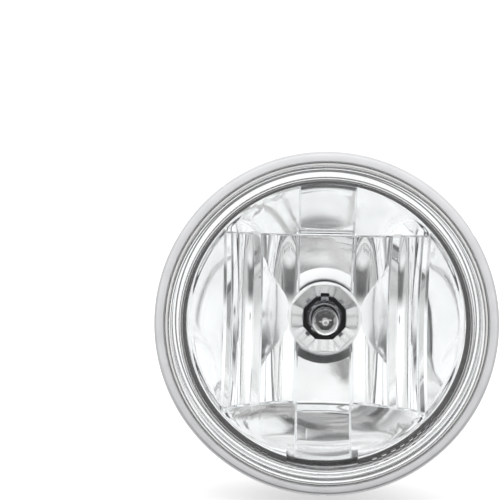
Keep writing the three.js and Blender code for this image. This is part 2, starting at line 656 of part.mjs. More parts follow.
// Two leads and the coil between them, as one bent wire with a thicker middle.
function bulbFilament() {
  const backY = BASE_FRONT_Y - 2 * FIT_GAP;
  const coilFrontY = FOCUS_Y - FILAMENT_LENGTH / 2;
  const coilBackY = FOCUS_Y + FILAMENT_LENGTH / 2;
  const at = (x, y) => new THREE.Vector3(x, y, 0);
  const wire = new THREE.CurvePath();
  const corners = [
    at(-LEAD_SPREAD, backY),
    at(-LEAD_SPREAD, coilBackY + 1),
    at(0, coilBackY - COIL_TUCK),
    at(0, coilFrontY + COIL_TUCK),
    at(LEAD_SPREAD, coilFrontY - 2 * COIL_TUCK),
    at(LEAD_SPREAD, backY),
  ];
  corners.slice(1).forEach((corner, i) => wire.add(new THREE.LineCurve3(corners[i], corner)));
  const section = regularShape(6, 2 * LEAD_RADIUS);
  const options = { steps: 24, extrudePath: wire, bevelEnabled: false };
  const leads = solidOf(new THREE.ExtrudeGeometry(section, options));
  const coil = plug(FILAMENT_RADIUS, coilFrontY, coilBackY, TINY_ROUND);
  return named("bulb_filament", leads.add(coil), TUNGSTEN);
}

function bulbSleeve() {
  const inner = CAPSULE_RADIUS + FIT_GAP;
  const backY = BASE_FRONT_Y - FIT_GAP;
  const frontY = backY - SLEEVE_LENGTH;
  let sleeve = tube(inner, inner + SLEEVE_WALL, frontY, backY, SMALL_ROUND);
  for (let i = 0; i < TAB_COUNT; i++) {
    const middle = (2 * Math.PI * (i + 0.5)) / TAB_COUNT;
    const tab = [frontY - TAB_REACH, frontY + TAB_FOOT, middle, TAB_ANGLE];
    sleeve = sleeve.add(ringSector(inner + TAB_INSET, inner + 2 * SLEEVE_WALL, ...tab));
  }
  return named("bulb_sleeve", sleeve, BLACKENED_STEEL);
}

const CONNECTOR_FLOOR_Y = BASE_FLANGE_REAR_Y + CONNECTOR_FLOOR;
const CONNECTOR_REAR_Y = BASE_FLANGE_REAR_Y + CONNECTOR_LENGTH;

function bulbBase() {
  const outer = [CONNECTOR_WIDTH, CONNECTOR_HEIGHT, CONNECTOR_CORNER];
  const wall = 2 * CONNECTOR_WALL;
  const inner = [CONNECTOR_WIDTH - wall, CONNECTOR_HEIGHT - wall, CONNECTOR_CORNER / 2];
  let base = turned([
    point(0, BASE_FRONT_Y),
    point(BASE_POST_RADIUS, BASE_FRONT_Y),
    point(BASE_POST_RADIUS, BASE_SHANK_FRONT_Y),
    point(BASE_SHANK_RADIUS, BASE_SHANK_FRONT_Y),
    point(BASE_SHANK_RADIUS, BASE_FLANGE_FRONT_Y),
    point(BASE_FLANGE_RADIUS, BASE_FLANGE_FRONT_Y),
    point(BASE_FLANGE_RADIUS, BASE_FLANGE_REAR_Y),
    point(0, BASE_FLANGE_REAR_Y),
  ], MIDDLE_ROUND);
  for (let i = 0; i < LUG_COUNT; i++) {
    const lug = [BASE_SHANK_FRONT_Y, LUG_BACK_Y, (2 * Math.PI * i) / LUG_COUNT, LUG_ANGLE];
    base = base.add(ringSector(BASE_SHANK_RADIUS - 1, LUG_CIRCLE_RADIUS, ...lug));
  }
  const [shroudFront, socketRear] = [BASE_FLANGE_REAR_Y - OVERCUT, CONNECTOR_REAR_Y + OVERCUT];
  const shroud = slabAcrossY(roundedRectangle(...outer), shroudFront, CONNECTOR_REAR_Y, 3);
  const socket = slabAcrossY(roundedRectangle(...inner), CONNECTOR_FLOOR_Y, socketRear, 3);
  base = base.add(shroud).subtract(socket);
  for (const side of [-1, 1]) base = base.subtract(terminalSlot(side));
  return named("bulb_base", base, BLACK_PLASTIC);
}

function blade(side, margin, y0, y1) {
  const middle = (side * TERMINAL_SPACING) / 2;
  const halfWidth = TERMINAL_WIDTH / 2 + margin;
  const halfThickness = TERMINAL_THICKNESS / 2 + margin;
  return box(middle - halfWidth, middle + halfWidth, y0, y1, -halfThickness, halfThickness);
}

const TERMINAL_FRONT_Y = BASE_FLANGE_FRONT_Y;

const terminalSlot = (side) =>
  blade(side, FIT_GAP, TERMINAL_FRONT_Y - FIT_GAP, CONNECTOR_FLOOR_Y + OVERCUT);

function terminal(name, side) {
  const rearY = CONNECTOR_FLOOR_Y + TERMINAL_REACH;
  return named(name, blade(side, 0, TERMINAL_FRONT_Y, rearY), TINNED_BRASS);
}

function bulbSeal() {
  const inner = NECK_BORE_RADIUS + FIT_GAP;
  const rear = NECK_REAR_Y;
  const ring = tube(inner, inner + BULB_SEAL_WIDTH, rear - BULB_SEAL_HEIGHT, rear, MIDDLE_ROUND);
  return named("bulb_seal", ring, BLACK_RUBBER);
}

// ---------------------------------------------------------------- bracket

// The folded sheet seen along Z: back plate, two bends and two arms.
function foldedSheet(halfHeight) {
  const outer = BRACKET_BEND_RADIUS;
  const inner = BRACKET_BEND_RADIUS - BRACKET_SHEET;
  const bend = ARM_OUTER_X - outer;
  const front = PIVOT_Y - ARM_END_RADIUS;
  const shape = new THREE.Shape();
  shape.moveTo(ARM_OUTER_X, front);
  shape.lineTo(ARM_OUTER_X, -outer);
  shape.absarc(bend, -outer, outer, 0, Math.PI / 2, false);
  shape.lineTo(-bend, 0);
  shape.absarc(-bend, -outer, outer, Math.PI / 2, Math.PI, false);
  shape.lineTo(-ARM_OUTER_X, front);
  shape.lineTo(-ARM_INNER_X, front);
  shape.lineTo(-ARM_INNER_X, -outer);
  shape.absarc(-bend, -outer, inner, Math.PI, Math.PI / 2, true);
  shape.lineTo(bend, -BRACKET_SHEET);
  shape.absarc(bend, -outer, inner, Math.PI / 2, 0, true);
  shape.lineTo(ARM_INNER_X, front);
  shape.closePath();
  const options = { depth: 2 * halfHeight, bevelEnabled: false, curveSegments: 4 };
  const geometry = new THREE.ExtrudeGeometry(shape, options);
  geometry.translate(0, 0, -halfHeight);
  return solidOf(geometry);
}

// Outline of the back plate: round hub, two wings and a tongue down to the adjuster.
function backOutline() {
  const wing = WING_HALF_HEIGHT;
  const reach = ARM_OUTER_X + 1;
  const bottom = ADJUSTER_Z - TONGUE_HALF_WIDTH;
  const depth = 2 * RING_OUTER_RADIUS;
  const hub = plug(BRACKET_HUB_RADIUS, -depth, 1, MIDDLE_ROUND);
  const wings = box(-reach, reach, -depth, 1, -wing, wing);
  const tongue = box(-TONGUE_HALF_WIDTH, TONGUE_HALF_WIDTH, -depth, 1, ADJUSTER_Z, 0);
  const end = plug(TONGUE_HALF_WIDTH, -depth, 1, SMALL_ROUND).translate([0, 0, ADJUSTER_Z]);
  return { outline: hub.add(wings).add(tongue).add(end), bottom };
}

// Outline of the arms from the side: they narrow to a round end about the pivot.
function sideOutline(halfHeight) {
  const wing = WING_HALF_HEIGHT;
  const bendY = -BRACKET_BEND_RADIUS - 1;
  const shape = new THREE.Shape();
  shape.moveTo(1, -halfHeight);
  shape.lineTo(1, halfHeight);
  shape.lineTo(bendY, halfHeight);
  shape.lineTo(bendY, wing);
  shape.lineTo(PIVOT_Y, ARM_END_RADIUS);
  shape.absarc(PIVOT_Y, 0, ARM_END_RADIUS, Math.PI / 2, 1.5 * Math.PI, false);
  shape.lineTo(bendY, -wing);
  shape.lineTo(bendY, -halfHeight);
  shape.closePath();
  return slabAcrossX(shape, -ARM_OUTER_X - 1, ARM_OUTER_X + 1);
}

function mountingBracket() {
  const { outline, bottom } = backOutline();
  const halfHeight = Math.abs(bottom) + 1;
  let bracket = foldedSheet(halfHeight).intersect(outline).intersect(sideOutline(halfHeight + 1));
  bracket = bracket.subtract(plug(BULB_ACCESS_RADIUS, -2 * BRACKET_SHEET, 1, MIDDLE_ROUND));
  for (const side of [-1, 1]) {
    const bolt = plug(PAD_BOLT_RADIUS, -2 * BRACKET_SHEET, 1, SMALL_ROUND);
    bracket = bracket.subtract(bolt.translate([(side * PAD_BOLT_SPACING) / 2, 0, 0]));
    const hole = plug(BUSH_OUTER_RADIUS + FIT_GAP, -ARM_OUTER_X - 1, -ARM_INNER_X + 1, SMALL_ROUND);
    bracket = bracket.subtract(ontoX(hole, side).translate([0, PIVOT_Y, 0]));
  }
  const screwHole = plug(ADJUSTER_BUSH_RADIUS + FIT_GAP, -2 * BRACKET_SHEET, 1, SMALL_ROUND);
  bracket = bracket.subtract(screwHole.translate([0, 0, ADJUSTER_Z]));
  return named("mounting_bracket", bracket, ZINC_STEEL);
}

function weldNut(name, side) {
  const back = BRACKET_FRONT_Y - FIT_GAP;
  const body = slabAcrossY(regularShape(6, WELD_NUT_FLATS), back - WELD_NUT_HEIGHT, back);
  const bore = plug(PAD_BOLT_RADIUS - FIT_GAP, back - WELD_NUT_HEIGHT - 1, back + 1, SMALL_ROUND);
  const nut = named(name, body.subtract(bore), ZINC_STEEL);
  nut.position.x = (side * PAD_BOLT_SPACING) / 2;
  return nut;
}

// ---------------------------------------------------------------- pivots

const BUSH_BORE_RADIUS = PIVOT_SCREW_RADIUS + RUNNING_GAP;
const BUSH_OUTER_RADIUS = BUSH_BORE_RADIUS + BUSH_WALL;

// Both pivot pieces are turned about the Y axis, then laid along X at the pivot.
function pivotBush(name, side) {
  const flangeEnd = -ARM_INNER_X + RUNNING_GAP + BUSH_FLANGE;
  const flangeStart = -ARM_INNER_X + RUNNING_GAP;
  const bush = turned([
    point(BUSH_BORE_RADIUS, -ARM_OUTER_X),
    point(BUSH_OUTER_RADIUS, -ARM_OUTER_X),
    point(BUSH_OUTER_RADIUS, flangeStart),
    point(BUSH_FLANGE_RADIUS, flangeStart),
    point(BUSH_FLANGE_RADIUS, flangeEnd),
    point(BUSH_BORE_RADIUS, flangeEnd),
  ], SMALL_ROUND);
  const mesh = named(name, ontoX(bush, side), NATURAL_NYLON);
  mesh.position.y = PIVOT_Y;
  return mesh;
}

function pivotScrew(name, side) {
  const headFace = -ARM_OUTER_X - RUNNING_GAP;
  const end = -PIVOT_BORE_END_X - FIT_GAP;
  const edge = PIVOT_HEAD_HEIGHT / 2;
  const screw = turned([
    point(0, headFace - PIVOT_HEAD_HEIGHT),
    point(PIVOT_HEAD_RADIUS - edge, headFace - PIVOT_HEAD_HEIGHT),
    point(PIVOT_HEAD_RADIUS, headFace - PIVOT_HEAD_HEIGHT + edge),
    point(PIVOT_HEAD_RADIUS, headFace),
    point(PIVOT_SCREW_RADIUS, headFace),
    point(PIVOT_SCREW_RADIUS, end),
    point(0, end),
  ], SMALL_ROUND);
  const [recessStart, recessEnd] = [headFace - 2 * PIVOT_HEAD_HEIGHT, headFace - OVERCUT];
  const recess = slabAcrossY(regularShape(6, PIVOT_KEY_FLATS), recessStart, recessEnd);
  const mesh = named(name, ontoX(screw.subtract(recess), side), ZINC_STEEL);
  mesh.position.y = PIVOT_Y;
  return mesh;
}

// ---------------------------------------------------------------- adjuster

const ADJUSTER_BORE_RADIUS = ADJUSTER_RADIUS + RUNNING_GAP;
const ADJUSTER_BUSH_RADIUS = ADJUSTER_BORE_RADIUS + BUSH_WALL;
const BUSH_REAR_Y = FIT_GAP + BUSH_FLANGE;
const BUSH_FRONT_Y = BRACKET_FRONT_Y - FIT_GAP - BUSH_FLANGE;

function adjusterBush() {
  const bush = turned([
    point(ADJUSTER_BORE_RADIUS, BUSH_FRONT_Y),
    point(BUSH_FLANGE_RADIUS, BUSH_FRONT_Y),
    point(BUSH_FLANGE_RADIUS, BUSH_FRONT_Y + BUSH_FLANGE),
    point(ADJUSTER_BUSH_RADIUS, BUSH_FRONT_Y + BUSH_FLANGE),
    point(ADJUSTER_BUSH_RADIUS, BUSH_REAR_Y - BUSH_FLANGE),
    point(BUSH_FLANGE_RADIUS, BUSH_REAR_Y - BUSH_FLANGE),
    point(BUSH_FLANGE_RADIUS, BUSH_REAR_Y),
    point(ADJUSTER_BORE_RADIUS, BUSH_REAR_Y),
  ], SMALL_ROUND);
  return named("adjuster_bush", bush, NATURAL_NYLON);
}

function adjusterScrew() {
  const washerFace = BUSH_REAR_Y + RUNNING_GAP;
  const headFace = washerFace + ADJUSTER_WASHER_HEIGHT;
  const rear = headFace + ADJUSTER_HEAD_HEIGHT;
  const chamfer = ADJUSTER_RADIUS / 2;
  const shank = turned([
    point(0, ADJUSTER_TIP_Y),
    point(ADJUSTER_RADIUS - chamfer, ADJUSTER_TIP_Y),
    point(ADJUSTER_RADIUS, ADJUSTER_TIP_Y + chamfer),
    point(ADJUSTER_RADIUS, washerFace),
    point(ADJUSTER_WASHER_RADIUS, washerFace),
    point(ADJUSTER_WASHER_RADIUS, headFace),
    point(0, headFace),
  ], SMALL_ROUND);
  const head = slabAcrossY(regularShape(6, ADJUSTER_HEAD_FLATS), headFace - OVERCUT / 2, rear);
  return named("adjuster_screw", shank.add(head), ZINC_STEEL);
}

function adjusterNut() {
  const half = NUT_FLATS / 2;
  const frontY = LUG_REAR_Y - NUT_LENGTH;
  const body = box(-half, half, frontY, LUG_REAR_Y, -half, half);
  const boreRadius = ADJUSTER_RADIUS + NUT_SWING_GAP;
  const bore = plug(boreRadius, frontY - OVERCUT, LUG_REAR_Y + OVERCUT, SMALL_ROUND);
  return named("adjuster_nut", body.subtract(bore), NATURAL_NYLON);
}

class SpringPath extends THREE.Curve {
  constructor(radius, fromY, toY, turns) {
    super();
    this.shape = { radius, fromY, toY, turns };
  }

  getPoint(share, target = new THREE.Vector3()) {
    const { radius, fromY, toY, turns } = this.shape;
    const angle = 2 * Math.PI * turns * share;
    const y = fromY + (toY - fromY) * share;
    return target.set(radius * Math.cos(angle), y, radius * Math.sin(angle));
  }
}

function adjusterSpring() {
  const radius = ADJUSTER_RADIUS + SPRING_INSIDE_GAP + SPRING_WIRE_RADIUS;
  const margin = SPRING_WIRE_RADIUS + FIT_GAP;
  const path = new SpringPath(radius, BUSH_FRONT_Y - margin, LUG_REAR_Y + margin, SPRING_TURNS);
  const section = regularShape(6, 2 * SPRING_WIRE_RADIUS);
  const steps = Math.round(10 * SPRING_TURNS);
  const options = { steps, extrudePath: path, bevelEnabled: false };
  const spring = solidOf(new THREE.ExtrudeGeometry(section, options));
  return named("adjuster_spring", spring, ZINC_STEEL);
}

// ---------------------------------------------------------------- assembly

function groupOf(name, ...pieces) {
  const group = new THREE.Group();
  group.name = name;
  group.add(...pieces);
  return group;
}

// Pieces of the adjuster are made about the Y axis and lie on the adjuster's own line.
function onAdjusterLine(piece) {
  piece.position.z = ADJUSTER_Z;
  return piece;
}

const bulb = groupOf(
  "bulb",
  bulbCapsule(),
  bulbFilament(),
  bulbSleeve(),
  bulbBase(),
  bulbSeal(),
  terminal("terminal_left", -1),
  terminal("terminal_right", 1),
);

const lamp = groupOf(
  "lamp",
  lens(),
  lensRing(),
  ringGasket(),
  lensSeal(),
  reflector(),
  bulbCollar(),
  housing(),
  ventCap(),
  onAdjusterLine(adjusterNut()),
  pivotScrew("pivot_screw_left", -1),
  pivotScrew("pivot_screw_right", 1),
  bulb,
);

const bracket = groupOf(
  "bracket",
  mountingBracket(),
  weldNut("weld_nut_left", -1),
  weldNut("weld_nut_right", 1),
  pivotBush("pivot_bush_left", -1),
  pivotBush("pivot_bush_right", 1),
  onAdjusterLine(adjusterBush()),
  onAdjusterLine(adjusterSpring()),
  onAdjusterLine(adjusterScrew()),
);

const fogLight = groupOf("fog_light", bracket, lamp);

export default fogLight;
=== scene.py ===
"""Round fog light: clear drum lens, chromed fluted reflector, twist-lock bulb and tilting bracket.

Lengths are millimetres while a piece is shaped, and metres once it is fitted to the frame. +Z is
up, the light shines towards -Y, and the optical axis is the Y axis.
"""

from __future__ import annotations

import logging
import math
from collections.abc import Callable, Sequence
from dataclasses import dataclass
from enum import Enum
from typing import Any

import bmesh
import bpy
import numpy as np
from mathutils import Matrix, Vector

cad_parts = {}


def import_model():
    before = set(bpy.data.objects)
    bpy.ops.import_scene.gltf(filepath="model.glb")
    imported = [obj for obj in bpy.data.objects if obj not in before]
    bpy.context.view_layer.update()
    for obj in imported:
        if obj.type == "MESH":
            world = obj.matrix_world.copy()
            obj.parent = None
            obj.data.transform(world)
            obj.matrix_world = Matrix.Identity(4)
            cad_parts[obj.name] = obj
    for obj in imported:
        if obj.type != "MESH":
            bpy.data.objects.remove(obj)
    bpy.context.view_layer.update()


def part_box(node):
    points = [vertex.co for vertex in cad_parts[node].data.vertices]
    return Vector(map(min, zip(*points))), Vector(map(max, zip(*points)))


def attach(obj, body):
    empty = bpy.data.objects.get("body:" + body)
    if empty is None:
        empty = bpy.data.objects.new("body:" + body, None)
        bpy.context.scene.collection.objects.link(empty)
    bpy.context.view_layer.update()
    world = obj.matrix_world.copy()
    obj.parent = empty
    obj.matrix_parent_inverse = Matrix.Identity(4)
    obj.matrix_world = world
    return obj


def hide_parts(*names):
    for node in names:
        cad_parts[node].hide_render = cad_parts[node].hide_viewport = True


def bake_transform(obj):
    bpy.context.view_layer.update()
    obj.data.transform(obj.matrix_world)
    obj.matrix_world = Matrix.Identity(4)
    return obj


log = logging.getLogger("fog_light")

MM = 0.001
MERGE = 1e-4  # vertices closer than this become one
FIT_GAP = 0.3  # between pieces that seat on each other
PAST = 1.0  # how far a cutter, or the root of a fused piece, runs past a face
CRISP = 0.2  # round of a turned or cut corner
SOFT = 0.3  # round of a moulded corner

Outline = list[tuple[float, float]]
Corners = Sequence[tuple[float, float, float]]
Colour = tuple[float, float, float, float]

WHITE: Colour = (1.0, 1.0, 1.0, 1.0)


class Body(Enum):
    """The moving bodies of the frame."""

    BRACKET = "bracket"
    LAMP = "lamp"
    BULB = "bulb"
    ADJUSTER = "adjuster"


class Side(Enum):
    """Left or right of the optical axis, seen from the front."""

    LEFT = -1
    RIGHT = 1


# ------------------------------------------------------------------ node trees


class Term:
    """A node's output that can be used in an expression."""

    def __init__(self, canvas: "Canvas", socket: Any) -> None:
        """Keeps the tree the output belongs to, and the output."""
        self.canvas = canvas
        self.socket = socket

    def math(self, operation: str, *others: Any, swap: bool = False) -> "Term":
        """Adds a Math node.

        Args:
            operation: The Math node's operation.
            others: The other operands, as numbers or terms.
            swap: Puts this term after the first of the others.

        Returns:
            The node's result.
        """
        operands = [self, *others]
        if swap:
            operands[0], operands[1] = operands[1], operands[0]
        sockets = dict(enumerate(operands))
        return self.canvas.node("ShaderNodeMath", {"operation": operation}, sockets)

    def __add__(self, other: Any) -> "Term":
        """This plus the other."""
        return self.math("ADD", other)

    def __radd__(self, other: Any) -> "Term":
        """The other plus this."""
        return self.math("ADD", other)

    def __sub__(self, other: Any) -> "Term":
        """This less the other."""
        return self.math("SUBTRACT", other)

    def __rsub__(self, other: Any) -> "Term":
        """The other less this."""
        return self.math("SUBTRACT", other, swap=True)

    def __mul__(self, other: Any) -> "Term":
        """This times the other."""
        return self.math("MULTIPLY", other)

    def __rmul__(self, other: Any) -> "Term":
        """The other times this."""
        return self.math("MULTIPLY", other)

    def clipped(self, low: float, high: float) -> "Term":
        """This, kept between two numbers."""
        return self.math("MAXIMUM", low).math("MINIMUM", high)

    def hypotenuse(self, other: "Term") -> "Term":
        """How far the point (this, other) is from the origin."""
        return (self * self + other * other).math("SQRT")

    def rising(self, low: float, high: float) -> "Term":
        """0 below low, 1 above high, and a smooth climb between them."""
        sockets = {"Value": self, "From Min": low, "From Max": high}
        return self.canvas.node("ShaderNodeMapRange", {"interpolation_type": "SMOOTHSTEP"}, sockets)


class Canvas:
    """A node tree being drawn."""

    def __init__(self, tree: bpy.types.NodeTree) -> None:
        """Keeps the tree."""
        self.tree = tree

    def node(
        self,
        kind: str,
        settings: dict[str, Any] | None = None,
        sockets: dict[Any, Any] | None = None,
        output: str | int = 0,
    ) -> Term:
        """Adds a node.

        Args:
            kind: The node's type.
            settings: Its properties, set before its sockets.
            sockets: Values or terms for its inputs, by name or number.
            output: The output to hand back.

        Returns:
            That output, or an empty term for a node without outputs.
        """
        made = self.tree.nodes.new(kind)
        for name, value in (settings or {}).items():
            setattr(made, name, value)
        for key, value in (sockets or {}).items():
            if isinstance(value, Term):
                self.tree.links.new(made.inputs[key], value.socket)
            else:
                made.inputs[key].default_value = value
        return Term(self, made.outputs[output] if len(made.outputs) else None)

    def position(self) -> Term:
        """A point's place in millimetres, in the object's own frame."""
        place = self.node("ShaderNodeTexCoord", output="Object")
        return self.node("ShaderNodeVectorMath", {"operation": "SCALE"}, {0: place, "Scale": 1 / MM})

    def parts(self, vector: Term) -> tuple[Term, Term, Term]:
        """The three numbers of a vector."""
        split = self.node("ShaderNodeSeparateXYZ", sockets={0: vector})
        return tuple(Term(self, socket) for socket in split.socket.node.outputs)

    def vector(self, x: Any, y: Any, z: Any) -> Term:
        """A vector from three numbers."""
        return self.node("ShaderNodeCombineXYZ", sockets={0: x, 1: y, 2: z})

    def noise(self, vector: Term, scale: float, detail: float = 2.0, rough: float = 0.5) -> Term:
        """Noise from 0 to 1, with about scale lumps to the millimetre."""
        sockets = {"Vector": vector, "Scale": scale, "Detail": detail, "Roughness": rough}
        return self.node("ShaderNodeTexNoise", sockets=sockets)

    def cells(self, vector: Term, scale: float, output: str = "Distance") -> Term:
        """Voronoi cells, with about scale cells to the millimetre."""
        sockets = {"Vector": vector, "Scale": scale}
        return self.node("ShaderNodeTexVoronoi", sockets=sockets, output=output)

    def blend(self, share: Any, first: Any, second: Any) -> Term:
        """A colour between two colours."""
        return self.node("ShaderNodeMix", {"data_type": "RGBA"}, {0: share, 6: first, 7: second}, 2)

    def bump(self, height: Term, depth: float) -> Term:
        """A bumped normal from a height from 0 to 1, with its depth in millimetres."""
        return self.node("ShaderNodeBump", sockets={"Distance": depth * MM, "Height": height})


class ShapeRule:
    """A Geometry Nodes tree with named inputs, which ends in one realised and coloured mesh."""

    def __init__(self, name: str, inputs: dict[str, str]) -> None:
        """Starts the tree.

        Args:
            name: The tree's name.
            inputs: Each input's name and socket type.
        """
        self.tree = bpy.data.node_groups.new(name, "GeometryNodeTree")
        self.canvas = Canvas(self.tree)
        sockets = {"Geometry": "NodeSocketGeometry", **inputs, "Material": "NodeSocketMaterial"}
        for label, kind in sockets.items():
            self.tree.interface.new_socket(label, in_out="INPUT", socket_type=kind)
        self.tree.interface.new_socket("Geometry", in_out="OUTPUT", socket_type="NodeSocketGeometry")
        entry = self.tree.nodes.new("NodeGroupInput")
        self.given = {s.name: Term(self.canvas, s) for s in entry.outputs if s.name}

    def close(self, geometry: Term) -> None:
        """Ends the tree in Realize Instances and Set Material."""
        whole = self.canvas.node("GeometryNodeRealizeInstances", sockets={"Geometry": geometry})
        sockets = {"Geometry": whole, "Material": self.given["Material"]}
        coloured = self.canvas.node("GeometryNodeSetMaterial", sockets=sockets)
        self.canvas.node("NodeGroupOutput", sockets={"Geometry": coloured})

    def grow(self, start: "Workpiece", values: dict[str, Any]) -> "Workpiece":
        """Runs the tree.

        Args:
            start: The workpiece it starts from.
            values: Each input's value.

        Returns:
            The workpiece it makes.
        """
        identifiers = {
            item.name: item.identifier
            for item in self.tree.interface.items_tree
            if item.item_type == "SOCKET" and item.in_out == "INPUT"
        }

        def prepare(holder: bpy.types.Object) -> None:
            """Puts the tree on the holder, with its inputs set."""
            modifier = holder.modifiers.new(self.tree.name, "NODES")
            modifier.node_group = self.tree
            for label, value in values.items():
                modifier[identifiers[label]] = value

        return start.changed(prepare).outward()


def coil_rule() -> ShapeRule:
    """A round wire, or a ridge with few sides, wound along the Y axis from the origin."""
    numbers = {"Radius": "NodeSocketFloat", "Length": "NodeSocketFloat", "Turns": "NodeSocketFloat"}
    wire = {"Wire Radius": "NodeSocketFloat", "Steps": "NodeSocketInt", "Sides": "NodeSocketInt"}
    rule = ShapeRule("wound_coil", numbers | wire)
    draw, given = rule.canvas, rule.given
    spiral = draw.node(
        "GeometryNodeCurveSpiral",
        sockets={
            "Resolution": given["Steps"],
            "Rotations": given["Turns"],
            "Start Radius": given["Radius"],
            "End Radius": given["Radius"],
            "Height": given["Length"],
        },
    )
    upright = draw.node("GeometryNodeSetCurveNormal", {"mode": "Z_UP"}, {"Curve": spiral})
    circle = {"Resolution": given["Sides"], "Radius": given["Wire Radius"]}
    section = draw.node("GeometryNodeCurvePrimitiveCircle", sockets=circle)
    sweep = {"Curve": upright, "Profile Curve": section, "Fill Caps": True}
    swept = draw.node("GeometryNodeCurveToMesh", sockets=sweep)
    laid = {"Geometry": swept, "Rotation": (-math.pi / 2, 0.0, 0.0)}
    rule.close(draw.node("GeometryNodeTransform", sockets=laid))
    return rule


def ring_rule() -> ShapeRule:
    """Copies of the start piece round the Y axis, at equal angles from +Z towards +X."""
    inputs = {"Count": "NodeSocketInt", "First": "NodeSocketFloat", "Step": "NodeSocketFloat"}
    rule = ShapeRule("copies_round_axis", inputs)
    draw, given = rule.canvas, rule.given
    index = draw.node("GeometryNodeInputIndex")
    turn = draw.vector(0.0, given["First"] + index * given["Step"], 0.0)
    rotation = draw.node("FunctionNodeEulerToRotation", sockets={"Euler": turn})
    points = draw.node("GeometryNodePoints", sockets={"Count": given["Count"]})
    sockets = {"Points": points, "Instance": given["Geometry"], "Rotation": rotation}
    rule.close(draw.node("GeometryNodeInstanceOnPoints", sockets=sockets))
    return rule


# ------------------------------------------------------------------ outlines


def arc(
    centre: tuple[float, float], radius: float, start: float, end: float, step: float = 6.0
) -> Outline:
    """Points on a circle.

    Args:
        centre: The circle's centre.
        radius: Its radius.
        start: The first angle in degrees, anticlockwise from the first axis.
        end: The last angle in degrees.
        step: The most degrees between points.

    Returns:
        The points, with both ends.
    """
    count = max(2, math.ceil(abs(end - start) / step) + 1)
    angles = np.radians(np.linspace(start, end, count))
    return [(centre[0] + radius * math.cos(a), centre[1] + radius * math.sin(a)) for a in angles]


def rounded(corners: Corners, closed: bool = True, step: float = 11.0) -> Outline:
    """An outline with its corners rounded.

    Args:
        corners: Each corner's two coordinates and its radius.
        closed: Whether the last corner leads back to the first.
        step: The most degrees between a round's points.

    Returns:
        The outline's points.
    """
    points: Outline = []
    count = len(corners)
    for i, (a, b, radius) in enumerate(corners):
        here = Vector((a, b))
        if radius <= 0 or (not closed and i in (0, count - 1)):
            points.append((a, b))
            continue
        before = Vector(corners[i - 1][:2]) - here
        after = Vector(corners[(i + 1) % count][:2]) - here
        half = before.angle(after) / 2
        reach = min(radius / math.tan(half), 0.49 * before.length, 0.49 * after.length)
        middle = here + (before.normalized() + after.normalized()).normalized() * reach / math.cos(half)
        first = here + before.normalized() * reach - middle
        turn = first.angle_signed(here + after.normalized() * reach - middle)
        steps = max(1, math.ceil(math.degrees(abs(turn)) / step))
        for k in range(steps + 1):
            spin = -turn * k / steps
            cos, sin = math.cos(spin), math.sin(spin)
            points.append(
                (middle.x + first.x * cos - first.y * sin, middle.y + first.x * sin + first.y * cos)
            )
    return points


def many_sided(sides: int, across_flats: float) -> Outline:
    """A regular outline with a flat on top."""
    radius = across_flats / 2 / math.cos(math.pi / sides)
    first = math.pi / 2 + math.pi / sides
    angles = [first + 2 * math.pi * i / sides for i in range(sides)]
    return [(radius * math.cos(a), radius * math.sin(a)) for a in angles]


def oblong(width: float, height: float, corner: float) -> Outline:
    """A rectangle about the origin with rounded corners."""
    a, b = width / 2, height / 2
    return rounded([(-a, -b, corner), (a, -b, corner), (a, b, corner), (-a, b, corner)])


# ------------------------------------------------------------------ workpieces


